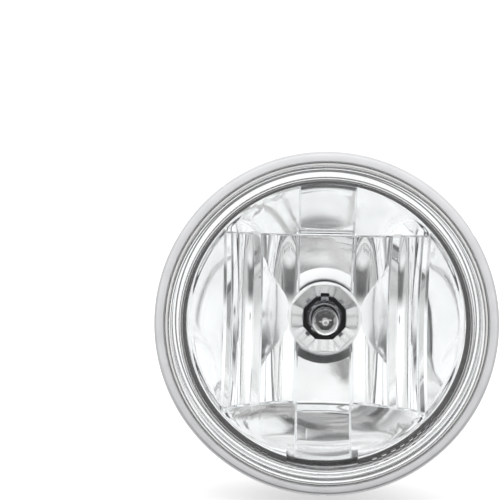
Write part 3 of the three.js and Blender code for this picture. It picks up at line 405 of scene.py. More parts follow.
class Workpiece:
    """A closed mesh in millimetres while it is being shaped."""

    ROUND = 160  # sides of a large turned piece
    SMALL_ROUND = 64
    CREASE = math.radians(32)

    def __init__(self, mesh: bpy.types.Mesh) -> None:
        """Keeps the mesh."""
        self.mesh = mesh

    @classmethod
    def of(cls, vertices: Sequence, faces: Sequence) -> "Workpiece":
        """A workpiece from points and faces, with doubles merged and faces turned outwards."""
        mesh = bpy.data.meshes.new("workpiece")
        mesh.from_pydata([tuple(v) for v in vertices], [], [tuple(f) for f in faces])
        return cls(mesh).outward()

    @classmethod
    def empty(cls) -> "Workpiece":
        """A workpiece with nothing in it, for a rule that needs no start."""
        return cls(bpy.data.meshes.new("workpiece"))

    @classmethod
    def turned(cls, outline: Outline, sides: int = ROUND) -> "Workpiece":
        """A solid of revolution about the Y axis.

        Args:
            outline: (radius, y) points, closed or starting and ending on the axis.
            sides: How many sides the round has.

        Returns:
            The solid.
        """
        angles = [2 * math.pi * k / sides for k in range(sides)]
        spokes = [(math.cos(a), math.sin(a)) for a in angles]
        vertices: list[tuple[float, float, float]] = []
        rings: list[list[int]] = []
        for radius, y in outline:
            first = len(vertices)
            if radius < MERGE:
                vertices.append((0.0, y, 0.0))
                rings.append([first] * sides)
            else:
                vertices.extend((radius * c, y, radius * s) for c, s in spokes)
                rings.append(list(range(first, first + sides)))
        faces = []
        for here, there in zip(rings, rings[1:] + rings[:1]):
            if len(set(here)) == len(set(there)) == 1:
                continue
            for k in range(sides):
                n = (k + 1) % sides
                loop = dict.fromkeys((here[k], here[n], there[n], there[k]))
                faces.append(tuple(loop))
        return cls.of(vertices, faces)

    @classmethod
    def disc(cls, radius: float, y0: float, y1: float, sides: int = ROUND) -> "Workpiece":
        """A plain cylinder along the Y axis, used for boring and as a start."""
        return cls.turned([(0, y0), (radius, y0), (radius, y1), (0, y1)], sides)

    @classmethod
    def tapered(
        cls, near: Outline, far: Outline, low: float, high: float, axis: str = "Y"
    ) -> "Workpiece":
        """A plug that changes from one outline to another with as many corners.

        Args:
            near: (x, z) points for a plug across Y, or (y, z) points for one across X.
            far: The other end's points.
            low: The near outline's plane.
            high: The far outline's plane.
            axis: The axis that the plug lies across.

        Returns:
            The plug.
        """
        count = len(near)
        place = (lambda a, b, c: (a, c, b)) if axis == "Y" else (lambda a, b, c: (c, a, b))
        vertices = [place(a, b, low) for a, b in near] + [place(a, b, high) for a, b in far]
        faces = [tuple(range(count)), tuple(range(2 * count - 1, count - 1, -1))]
        faces += [(k, k + count, (k + 1) % count + count, (k + 1) % count) for k in range(count)]
        return cls.of(vertices, faces)

    @classmethod
    def slab(cls, outline: Outline, low: float, high: float, axis: str = "Y") -> "Workpiece":
        """A plate of one outline between two planes."""
        return cls.tapered(outline, outline, low, high, axis)

    @classmethod
    def rod(cls, path: Sequence[Vector], radius: float, sides: int = 12) -> "Workpiece":
        """A round wire along a path of points."""
        curve = bpy.data.curves.new("rod", "CURVE")
        curve.dimensions = "3D"
        curve.bevel_depth = radius
        curve.bevel_resolution = sides // 4
        curve.use_fill_caps = True
        spline = curve.splines.new("POLY")
        spline.points.add(len(path) - 1)
        for point, place in zip(spline.points, path):
            point.co = (*place, 1.0)
        return cls._evaluated(curve, lambda _: None).outward()

    @staticmethod
    def _evaluated(data: Any, prepare: Callable[[bpy.types.Object], None]) -> "Workpiece":
        """The mesh that data gives once its object is prepared.

        Args:
            data: A mesh or a curve, which is removed.
            prepare: Puts modifiers on the object.

        Returns:
            The result as a plain mesh.
        """
        holder = bpy.data.objects.new("holder", data)
        bpy.context.scene.collection.objects.link(holder)
        prepare(holder)
        bpy.context.view_layer.update()
        graph = bpy.context.evaluated_depsgraph_get()
        made = bpy.data.meshes.new_from_object(holder.evaluated_get(graph), depsgraph=graph)
        bpy.data.objects.remove(holder)
        store = bpy.data.meshes if isinstance(data, bpy.types.Mesh) else bpy.data.curves
        store.remove(data)
        return Workpiece(made)

    def changed(self, prepare: Callable[[bpy.types.Object], None]) -> "Workpiece":
        """This workpiece after the modifiers that prepare puts on it."""
        return self._evaluated(self.mesh, prepare)

    def edited(self, edit: Callable[[bmesh.types.BMesh], None]) -> "Workpiece":
        """This workpiece after an edit of its mesh."""
        work = bmesh.new()
        work.from_mesh(self.mesh)
        edit(work)
        work.to_mesh(self.mesh)
        work.free()
        return self

    def outward(self) -> "Workpiece":
        """Merges doubles and turns the faces outwards."""

        def edit(work: bmesh.types.BMesh) -> None:
            """Merges, recalculates and reverses where the volume is negative."""
            bmesh.ops.remove_doubles(work, verts=work.verts, dist=MERGE)
            bmesh.ops.recalc_face_normals(work, faces=work.faces)
            if work.calc_volume(signed=True) < 0:
                bmesh.ops.reverse_faces(work, faces=work.faces)

        return self.edited(edit)

    def moved(self, x: float = 0.0, y: float = 0.0, z: float = 0.0) -> "Workpiece":
        """Shifts the workpiece."""
        self.mesh.transform(Matrix.Translation((x, y, z)))
        return self

    def spun(self, axis: str, degrees: float) -> "Workpiece":
        """Turns the workpiece about an axis through the origin."""
        self.mesh.transform(Matrix.Rotation(math.radians(degrees), 4, axis))
        return self

    def copy(self) -> "Workpiece":
        """Another workpiece of the same shape."""
        return Workpiece(self.mesh.copy())

    def onto_x(self, side: Side, pivot: float) -> "Workpiece":
        """Lays a piece made about Y along X at the pivot, its front outwards."""
        return self.spun("Z", side.value * 90).moved(y=pivot)

    def _combined(self, other: "Workpiece", operation: str) -> "Workpiece":
        """The result of a boolean with another workpiece, which is used up."""
        tool = bpy.data.objects.new("tool", other.mesh)
        bpy.context.scene.collection.objects.link(tool)

        def prepare(holder: bpy.types.Object) -> None:
            """Puts the boolean on the holder."""
            modifier = holder.modifiers.new("combine", "BOOLEAN")
            modifier.operation = operation
            modifier.solver = "MANIFOLD"
            modifier.object = tool

        made = self.changed(prepare)
        bpy.data.objects.remove(tool)
        bpy.data.meshes.remove(other.mesh)
        return made

    def cut(self, *tools: "Workpiece") -> "Workpiece":
        """This workpiece less the tools."""
        made = self
        for tool in tools:
            made = made._combined(tool, "DIFFERENCE")
        return made

    def fused(self, *others: "Workpiece") -> "Workpiece":
        """This workpiece and the others as one solid."""
        made = self
        for other in others:
            made = made._combined(other, "UNION")
        return made

    def common(self, other: "Workpiece") -> "Workpiece":
        """What this workpiece and another share."""
        return self._combined(other, "INTERSECT")

    def beside(self, *others: "Workpiece") -> "Workpiece":
        """This workpiece and others in one mesh, each still closed by itself."""

        def edit(work: bmesh.types.BMesh) -> None:
            """Adds the other meshes."""
            for other in others:
                work.from_mesh(other.mesh)

        made = self.edited(edit)
        for other in others:
            bpy.data.meshes.remove(other.mesh)
        return made

    def broken_edges(self, width: float, segments: int = 2, angle: float = 35.0) -> "Workpiece":
        """Rounds every edge sharper than an angle."""

        def prepare(holder: bpy.types.Object) -> None:
            """Puts a bevel on the holder."""
            modifier = holder.modifiers.new("edges", "BEVEL")
            modifier.width = width
            modifier.segments = segments
            modifier.limit_method = "ANGLE"
            modifier.angle_limit = math.radians(angle)
            modifier.use_clamp_overlap = True

        return self.changed(prepare)

    def fitted(self, name: str, body: Body, finish: "Finish", crease: float = CREASE) -> None:
        """Turns the workpiece into a finished piece of the object, at the origin, in metres.

        Args:
            name: The piece's name, which is also the node it stands for.
            body: The body it rides on.
            finish: What its surface is.
            crease: Edges sharper than this angle, in radians, stay sharp.
        """
        piece = self._in_metres(name, finish, crease)
        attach(piece, body.value)
        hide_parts(name)
        log.info("%s: %d faces on %s", name, len(self.mesh.polygons), body.value)

    def sprung(self, name: str, finish: "Finish", start: Vector, end: Vector) -> None:
        """Turns the workpiece into a piece between the bracket and the lamp, fixed in place on no body.

        Args:
            name: The piece's name, which is also the node it stands for.
            finish: What its surface is.
            start: The point where it leaves the bracket, in millimetres; not used.
            end: The point where it meets the lamp, in millimetres; not used.
        """
        piece = self._in_metres(name, finish, self.CREASE)
        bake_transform(piece)
        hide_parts(name)
        log.info("%s: %d faces between bracket and lamp", name, len(self.mesh.polygons))

    def _in_metres(self, name: str, finish: "Finish", crease: float) -> bpy.types.Object:
        """The workpiece as a smooth object in metres with its finish.

        Args:
            name: The object's name.
            finish: What its surface is.
            crease: Edges sharper than this angle, in radians, stay sharp.

        Returns:
            The object, linked to the scene.
        """
        mesh = self.mesh
        mesh.transform(Matrix.Scale(MM, 4))
        mesh.materials.clear()
        mesh.materials.append(finish.material())
        mesh.polygons.foreach_set("material_index", [0] * len(mesh.polygons))
        mesh.shade_smooth()
        mesh.set_sharp_from_angle(angle=crease)
        label = "piece_" + name
        mesh.name = label
        piece = bpy.data.objects.new(label, mesh)
        bpy.context.scene.collection.objects.link(piece)
        return piece


# ------------------------------------------------------------------ finishes


@dataclass(frozen=True)
class Finish:
    """A surface, with the material slot that it answers to."""

    name: str
    slot: str
    colour: Colour
    roughness: float

    def material(self) -> bpy.types.Material:
        """The finish's material, made the first time it is asked for."""
        known = bpy.data.materials.get(self.name)
        if known:
            return known
        made = bpy.data.materials.new(self.name)
        made.use_nodes = True
        made.node_tree.nodes.clear()
        canvas = Canvas(made.node_tree)
        surface = canvas.node("ShaderNodeBsdfPrincipled", sockets=self.sockets(canvas))
        canvas.node("ShaderNodeOutputMaterial", sockets={"Surface": surface})
        return made

    def sockets(self, canvas: Canvas) -> dict[str, Any]:
        """The surface shader's sockets."""
        return {"Base Color": self.colour, "Roughness": self.roughness}

    def dimmed(self, share: float) -> Colour:
        """The finish's colour with only a share of its brightness."""
        return tuple(c * share for c in self.colour[:3]) + (1.0,)


@dataclass(frozen=True)
class ClearGlass(Finish):
    """Pressed glass with faint waviness, frosted on its marking pad."""

    waviness: float = 0.02
    pad: tuple[float, float, float, float] = (-11.8, 10.9, -44.8, -38.4)  # left, right, low, high
    pad_fade: float = 0.3
    pad_depth: tuple[float, float] = (-62.0, -61.5)  # only the glass in front of this is frosted
    frost: float = 0.16
    dust: float = 0.015

    def sockets(self, canvas: Canvas) -> dict[str, Any]:
        """Glass whose roughness rises inside the pad's rectangle on the lens face."""
        place = canvas.position()
        x, y, z = canvas.parts(place)
        left, right, low, high = self.pad
        fade = self.pad_fade
        across = x.rising(left, left + fade) * (1 - x.rising(right - fade, right))
        upright = z.rising(low, low + fade) * (1 - z.rising(high - fade, high))
        outside = 1 - y.rising(*self.pad_depth)
        dust = canvas.noise(place, 0.9, 4).rising(0.45, 0.8)
        frosted = across * upright * outside * (canvas.noise(place, 2.2, 3) * 0.6 + 0.7)
        return {
            "Base Color": self.colour,
            "Roughness": dust * self.dust + frosted * self.frost + self.roughness,
            "Normal": canvas.bump(canvas.noise(place, 0.045, 1), self.waviness),
            "Transmission Weight": 1.0,
            "IOR": 1.5,
        }


@dataclass(frozen=True)
class SpunMetal(Finish):
    """Metal with fine tool rings round the Y axis."""

    ring_depth: float = 0.004
    rings_per_mm: float = 9

    def sockets(self, canvas: Canvas) -> dict[str, Any]:
        """Metal whose roughness and normal follow rings about the axis."""
        place = canvas.position()
        x, y, z = canvas.parts(place)
        fine = self.rings_per_mm
        tracks = canvas.vector(x.hypotenuse(z) * fine, y * fine, (x + z) * 0.12)
        rings = canvas.noise(tracks, 1.0, 3, 0.7)
        cloud = canvas.noise(place, 0.12, 3)
        return {
            "Base Color": canvas.blend(cloud.rising(0.35, 0.75), self.colour, self.dimmed(0.93)),
            "Metallic": 1.0,
            "Roughness": self.roughness + (rings - 0.5) * 0.12 + (cloud - 0.5) * 0.1,
            "Normal": canvas.bump(rings, self.ring_depth),
        }


@dataclass(frozen=True)
class VacuumChrome(Finish):
    """Bright metallised layer with the faintest orange peel and haze."""

    peel: float = 0.0015

    def sockets(self, canvas: Canvas) -> dict[str, Any]:
        """Mirror metal with slow and fine irregularities."""
        place = canvas.position()
        haze = canvas.noise(place, 0.09, 3).rising(0.4, 0.85)
        specks = canvas.noise(place, 3.0, 2).rising(0.66, 0.8)
        peel = canvas.noise(place, 0.35, 2)
        return {
            "Base Color": canvas.blend(haze, self.colour, self.dimmed(0.95)),
            "Metallic": 1.0,
            "Roughness": self.roughness + haze * 0.03 + specks * 0.05,
            "Normal": canvas.bump(peel, self.peel),
        }


@dataclass(frozen=True)
class MouldedPlastic(Finish):
    """Moulded plastic with a fine spark texture."""

    grain: float = 2.6
    depth: float = 0.03

    def sockets(self, canvas: Canvas) -> dict[str, Any]:
        """Plastic with grain, flow clouds and rubbed patches."""
        place = canvas.position()
        fine = canvas.noise(place, self.grain * 2.5, 3)
        grain = canvas.cells(place, self.grain) * 0.6 + fine * 0.4
        cloud = canvas.noise(place, 0.05, 4, 0.6)
        rubbed = canvas.noise(place, 0.4, 5, 0.65).rising(0.55, 0.72)
        pale = tuple(min(1.0, c * 1.7 + 0.004) for c in self.colour[:3]) + (1.0,)
        worn = cloud.rising(0.4, 0.8) * 0.5 + rubbed * 0.3
        return {
            "Base Color": canvas.blend(worn, self.colour, pale),
            "Roughness": (self.roughness + (cloud - 0.5) * 0.2 - rubbed * 0.1).clipped(0.2, 0.95),
            "Normal": canvas.bump(grain, self.depth),
        }


@dataclass(frozen=True)
class SealingCompound(MouldedPlastic):
    """Pale compound, painted black inside a radius: painted shade, where the bead stands in for the
    shade seen through the lens's drum wall.
    """

    painted_shade_radius: float = 48.0
    painted_shade_fade: float = 0.5
    # painted shade: this black on the bead stands in for the shade seen along the lens's inner wall
    painted_shade_colour: Colour = (0.006, 0.006, 0.006, 1.0)

    def sockets(self, canvas: Canvas) -> dict[str, Any]:
        """The moulding's sockets, with the painted shade's black mixed in inside the radius."""
        sockets = super().sockets(canvas)
        x, _, z = canvas.parts(canvas.position())
        low, high = self.painted_shade_radius - self.painted_shade_fade, self.painted_shade_radius + self.painted_shade_fade
        outside = x.hypotenuse(z).rising(low, high)
        sockets["Base Color"] = canvas.blend(outside, self.painted_shade_colour, sockets["Base Color"])
        return sockets


@dataclass(frozen=True)
class PlatedSteel(Finish):
    """Zinc plate: a faint spangle, rolling lines and dull spots."""

    spangle: float = 0.32
    relief: float = 0.006

    def sockets(self, canvas: Canvas) -> dict[str, Any]:
        """Metal whose colour and roughness change from grain to grain."""
        place = canvas.position()
        x, y, z = canvas.parts(place)
        grains = canvas.cells(place, self.spangle, "Color")
        grey = canvas.parts(grains)[0]
        rolled = canvas.noise(canvas.vector(x * 0.25, y * 7, z * 7), 1.0, 3, 0.6)
        spots = canvas.noise(place, 0.6, 4).rising(0.6, 0.75)
        cool = (self.colour[0] * 0.86, self.colour[1] * 0.88, self.colour[2] * 0.93, 1.0)
        return {
            "Base Color": canvas.blend(grey * 0.6 + spots * 0.4, self.colour, cool),
            "Metallic": 1.0,
            "Roughness": self.roughness + grey * 0.08 + (rolled - 0.5) * 0.14 + spots * 0.12,
            "Normal": canvas.bump(rolled * 0.7 + grey * 0.3, self.relief),
        }


@dataclass(frozen=True)
class DrawnWire(Finish):
    """Fine drawn or stamped metal with lengthwise scratches."""

    scratch: float = 0.003

    def sockets(self, canvas: Canvas) -> dict[str, Any]:
        """Metal with fine scratches and slight discolouring."""
        place = canvas.position()
        x, y, z = canvas.parts(place)
        lines = canvas.noise(canvas.vector(x * 14, y * 0.8, z * 14), 1.0, 3, 0.7)
        tint = canvas.noise(place, 0.7, 3)
        return {
            "Base Color": canvas.blend(tint.rising(0.4, 0.7), self.colour, self.dimmed(0.8)),
            "Metallic": 1.0,
            "Roughness": self.roughness + (lines - 0.5) * 0.16,
            "Normal": canvas.bump(lines, self.scratch),
        }


CLEAR_GLASS = ClearGlass("pressed_glass", "clear_glass", (0.985, 0.992, 0.99, 1.0), 0.0)
QUARTZ = ClearGlass("quartz", "clear_glass", (0.97, 0.97, 0.97, 1.0), 0.0, 0.01)
SATIN_METAL = SpunMetal("spun_ring", "satin_metal", (0.72, 0.725, 0.735, 1.0), 0.34)
CHROME = VacuumChrome("bright_layer", "reflector_chrome", (0.95, 0.955, 0.96, 1.0), 0.03)
COLLAR_CHROME = VacuumChrome("collar_layer", "reflector_chrome", (0.93, 0.93, 0.935, 1.0), 0.15)
BLACK_PLASTIC = MouldedPlastic("black_moulding", "black_plastic", (0.013, 0.013, 0.015, 1.0), 0.5)
BLACK_RUBBER = MouldedPlastic("rubber", "black_rubber", (0.009, 0.009, 0.009, 1.0), 0.78, 1.8, 0.02)
SILICONE = SealingCompound("silicone", "pale_silicone", (0.8, 0.8, 0.79, 1.0), 0.45, 1.2, 0.01)
ZINC_STEEL = PlatedSteel("zinc_plate", "zinc_steel", (0.66, 0.67, 0.68, 1.0), 0.3)
# painted shade: the sleeve's steel is darkened to stand in for the shade inside the collar's mouth
SHADE_DARKENED_STEEL = PlatedSteel("sleeve_painted_shade", "blackened_steel", (0.3, 0.3, 0.31, 1.0), 0.2)
NYLON = MouldedPlastic("nylon", "natural_nylon", (0.78, 0.75, 0.64, 1.0), 0.42, 2.0, 0.015)
TUNGSTEN = DrawnWire("filament_wire", "tungsten", (0.74, 0.73, 0.72, 1.0), 0.22)
TINNED_BRASS = DrawnWire("tin_plate", "tinned_brass", (0.74, 0.71, 0.62, 1.0), 0.28)


# ------------------------------------------------------------------ places from the frame


@dataclass(frozen=True)
class Extent:
    """A node's box at rest, in millimetres."""

    low: Vector
    high: Vector

    @classmethod
    def of(cls, node: str) -> "Extent":
        """The box of one of the frame's nodes."""
        low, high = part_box(node)
        return cls(low / MM, high / MM)

    @property
    def front(self) -> float:
        """Lowest Y, towards the light's beam."""
        return self.low.y

    @property
    def rear(self) -> float:
        """Highest Y."""
        return self.high.y

    @property
    def radius(self) -> float:
        """Half the width."""
        return (self.high.x - self.low.x) / 2

    @property
    def centre(self) -> Vector:
        """The middle of the box."""
        return (self.low + self.high) / 2


@dataclass(frozen=True)
class Bowl:
    """A paraboloid about the Y axis, open towards -Y."""

    vertex: float
    focal: float = 19.0

    def y(self, radius: float) -> float:
        """The surface's place at a radius."""
        return self.vertex - radius**2 / (4 * self.focal)

    def radius(self, y: float) -> float:
        """The surface's radius at a place on the axis."""
        return math.sqrt(4 * self.focal * (self.vertex - y))

    def curve(self, start: float, end: float, steps: int = 24) -> Outline:
        """(radius, y) points from one radius to another."""
        return [(float(r), self.y(float(r))) for r in np.linspace(start, end, steps)]

    def behind(self, distance: float) -> "Bowl":
        """The same paraboloid, further back."""
        return Bowl(self.vertex + distance, self.focal)


@dataclass(frozen=True)
class Rules:
    """The geometry rules that several sub-assemblies share."""

    coil: ShapeRule
    ring: ShapeRule

    def wound(
        self, radius: float, length: float, turns: float, wire: float, sides: int, finish: Finish
    ) -> Workpiece:
        """A coil along Y from the origin.

        Args:
            radius: The coil's radius, to the middle of the wire.
            length: Its length, between the middles of its ends.
            turns: How many times it goes round.
            wire: The wire's radius.
            sides: The wire's sides.
            finish: What it is made of.

        Returns:
            The coil.
        """
        values = {"Radius": radius, "Length": length, "Turns": turns, "Wire Radius": wire}
        values |= {"Steps": 36, "Sides": sides, "Material": finish.material()}
        return self.coil.grow(Workpiece.empty(), values)

    def around(
        self, one: Workpiece, count: int, finish: Finish, first: float = 0.0, step: float | None = None
    ) -> Workpiece:
        """Copies of a workpiece round the Y axis.

        Args:
            one: The piece that is copied.
            count: How many copies there are.
            finish: What they are made of.
            first: The first copy's angle, in degrees from +Z towards +X.
            step: Degrees from one to the next, or None to share out the whole round.

        Returns:
            The copies as one workpiece.
        """
        turn = math.radians(360 / count if step is None else step)
        values = {"Count": count, "First": math.radians(first), "Step": turn}
        return self.ring.grow(one, values | {"Material": finish.material()})


# ------------------------------------------------------------------ lens, ring and seals


@dataclass
class Lens:
    """Pressed glass drum lens with a rounded shoulder, a slight crown and blank raised marks."""

    rules: Rules
    drum_radius: float = 50.2
    wall: float = 3.4
    face: float = 3.0
    flange: float = 3.5
    shoulder: float = 3.0
    inner_round: float = 1.5
    crown: float = 1.4
    mark_height: float = 0.22
    mark_radius: float = 45.2
    mark_size: tuple[float, float, float] = (1.7, 2.4, 0.4)  # width, height, corner
    mark_rows: tuple[tuple[int, float, float], ...] = ((3, 204.5, 3.6), (8, 129.5, 4.2))
    pad_corner: float = 0.8
    rings: int = 14  # across the face

    def crowned(self, radius: float, edge: float, flat: float) -> float:
        """The place of a crowned face at a radius.

        Args:
            radius: The radius.
            edge: The face's place at its edge.
            flat: Its edge's radius.

        Returns:
            The place along Y.
        """
        return edge - self.crown * (1 - (radius / flat) ** 2)

    def outline(self, box: Extent) -> Outline:
        """The lens's section, from the middle of its face round to the middle of its inside."""
        edge = box.front + self.crown
        inner = self.drum_radius - self.wall
        flat = self.drum_radius - self.shoulder
        inner_flat = inner - self.inner_round
        seat = box.rear - self.flange
        front = [(r, self.crowned(r, edge, flat)) for r in np.linspace(0, flat, self.rings)]
        drum: Corners = [
            (flat, edge, 0),
            (self.drum_radius, edge, self.shoulder),
            (self.drum_radius, seat, 0.5),
            (box.radius, seat, 0.4),
            (box.radius, box.rear, 0.4),
            (inner, box.rear, SOFT),
            (inner, edge + self.face, self.inner_round),
            (inner_flat - 2, edge + self.face, 0),
        ]
        back = [
            (r, self.crowned(r, edge + self.face, inner_flat))
            for r in np.linspace(inner_flat, 0, self.rings)
        ]
        return front[:-1] + rounded(drum, closed=False, step=7)[:-1] + back

    def marks(self, box: Extent) -> list[Workpiece]:
        """The pad and the blank bars that stand on the face, tilted to follow its crown."""
        flat = self.drum_radius - self.shoulder
        edge = box.front + self.crown
        left, right, low, high = CLEAR_GLASS.pad

        def laid(outline: Outline, radius: float) -> Workpiece:
            """A flat blank of an outline, laid on the face at a radius above the axis."""
            slope = math.degrees(math.atan(2 * self.crown * radius / flat**2))
            blank = Workpiece.slab(outline, -self.mark_height, 1.0).broken_edges(0.1, 1)
            return blank.spun("X", slope).moved(y=self.crowned(radius, edge, flat), z=radius)

        pad = laid(oblong(right - left, high - low, self.pad_corner), -(low + high) / 2)
        bar = laid(oblong(*self.mark_size), self.mark_radius)
        rows = [
            self.rules.around(bar.copy(), count, CLEAR_GLASS, first, step)
            for count, first, step in self.mark_rows
        ]
        return [pad.spun("Y", 180).moved(x=(left + right) / 2), *rows]

    def build(self) -> None:
        """Makes the lens."""
        box = Extent.of("lens")
        blank = Workpiece.turned(self.outline(box), 192)
        blank.fused(*self.marks(box)).fitted("lens", Body.LAMP, CLEAR_GLASS)


@dataclass
class LensRing:
    """Spun ring that is rolled over the lens's and the housing's flanges, with three crimp marks."""

    sheet: float = 1.2
    face_width: float = 3.3
    hook_width: float = 3.6
    edge_round: float = 1.3
    crimps: tuple[float, ...] = (-37.0, 57.0, 180.0)
    crimp_width: float = 2.2
    crimp_depth: float = 0.45
    crimp_length: float = 2.2
    lip_round: float = 0.45
    hook_round: float = 0.4

    def build(self) -> None:
        """Makes the ring."""
        box = Extent.of("lens_ring")
        outer, front, rear = box.radius, box.front, box.rear
        inside = max(self.edge_round - self.sheet, 0.25)
        corners: Corners = [
            (outer - self.face_width, front, self.lip_round),
            (outer, front, self.edge_round),
            (outer, rear, self.edge_round),
            (outer - self.hook_width, rear, self.hook_round),
            (outer - self.hook_width, rear - self.sheet, self.hook_round),
            (outer - self.sheet, rear - self.sheet, inside),
            (outer - self.sheet, front + self.sheet, inside),
            (outer - self.face_width, front + self.sheet, self.lip_round),
        ]
        ring = Workpiece.turned(rounded(corners, step=15), 240)
        for angle in self.crimps:
            outline = oblong(self.crimp_width, 2 * self.crimp_depth, 0.3)
            dent = Workpiece.slab(outline, front - PAST, front + self.crimp_length)
            ring = ring.cut(dent.broken_edges(0.2).moved(z=outer).spun("Y", angle))
        ring.fitted("lens_ring", Body.LAMP, SATIN_METAL)


@dataclass
class Seals:
    """Rings in front of and behind the lens's flange, with a bead just inside the lens whose black is
    painted shade seen through the drum's wall.
    """

    gasket_inner: float = 50.5
    seal_inner: float = 50.2
    shade_bead: tuple[float, float] = (45.05, 46.75)
    edge_round: float = 0.35

    def ring(self, box: Extent, inner: float, outer: float) -> Workpiece:
        """One round-edged ring as deep as a box."""
        places = [(inner, box.front), (outer, box.front), (outer, box.rear), (inner, box.rear)]
        corners = [(radius, y, self.edge_round) for radius, y in places]
        return Workpiece.turned(rounded(corners, step=30))

    def build(self) -> None:
        """Makes the gasket and the seal."""
        front, behind = Extent.of("ring_gasket"), Extent.of("lens_seal")
        gasket = self.ring(front, self.gasket_inner, front.radius)
        gasket.fitted("ring_gasket", Body.LAMP, SILICONE)
        seal = self.ring(behind, self.seal_inner, behind.radius)
        # painted shade: the bead's black stands in for the shade seen along the lens's inner wall
        seal.beside(self.ring(behind, *self.shade_bead)).fitted("lens_seal", Body.LAMP, SILICONE)


# ------------------------------------------------------------------ reflector and collar


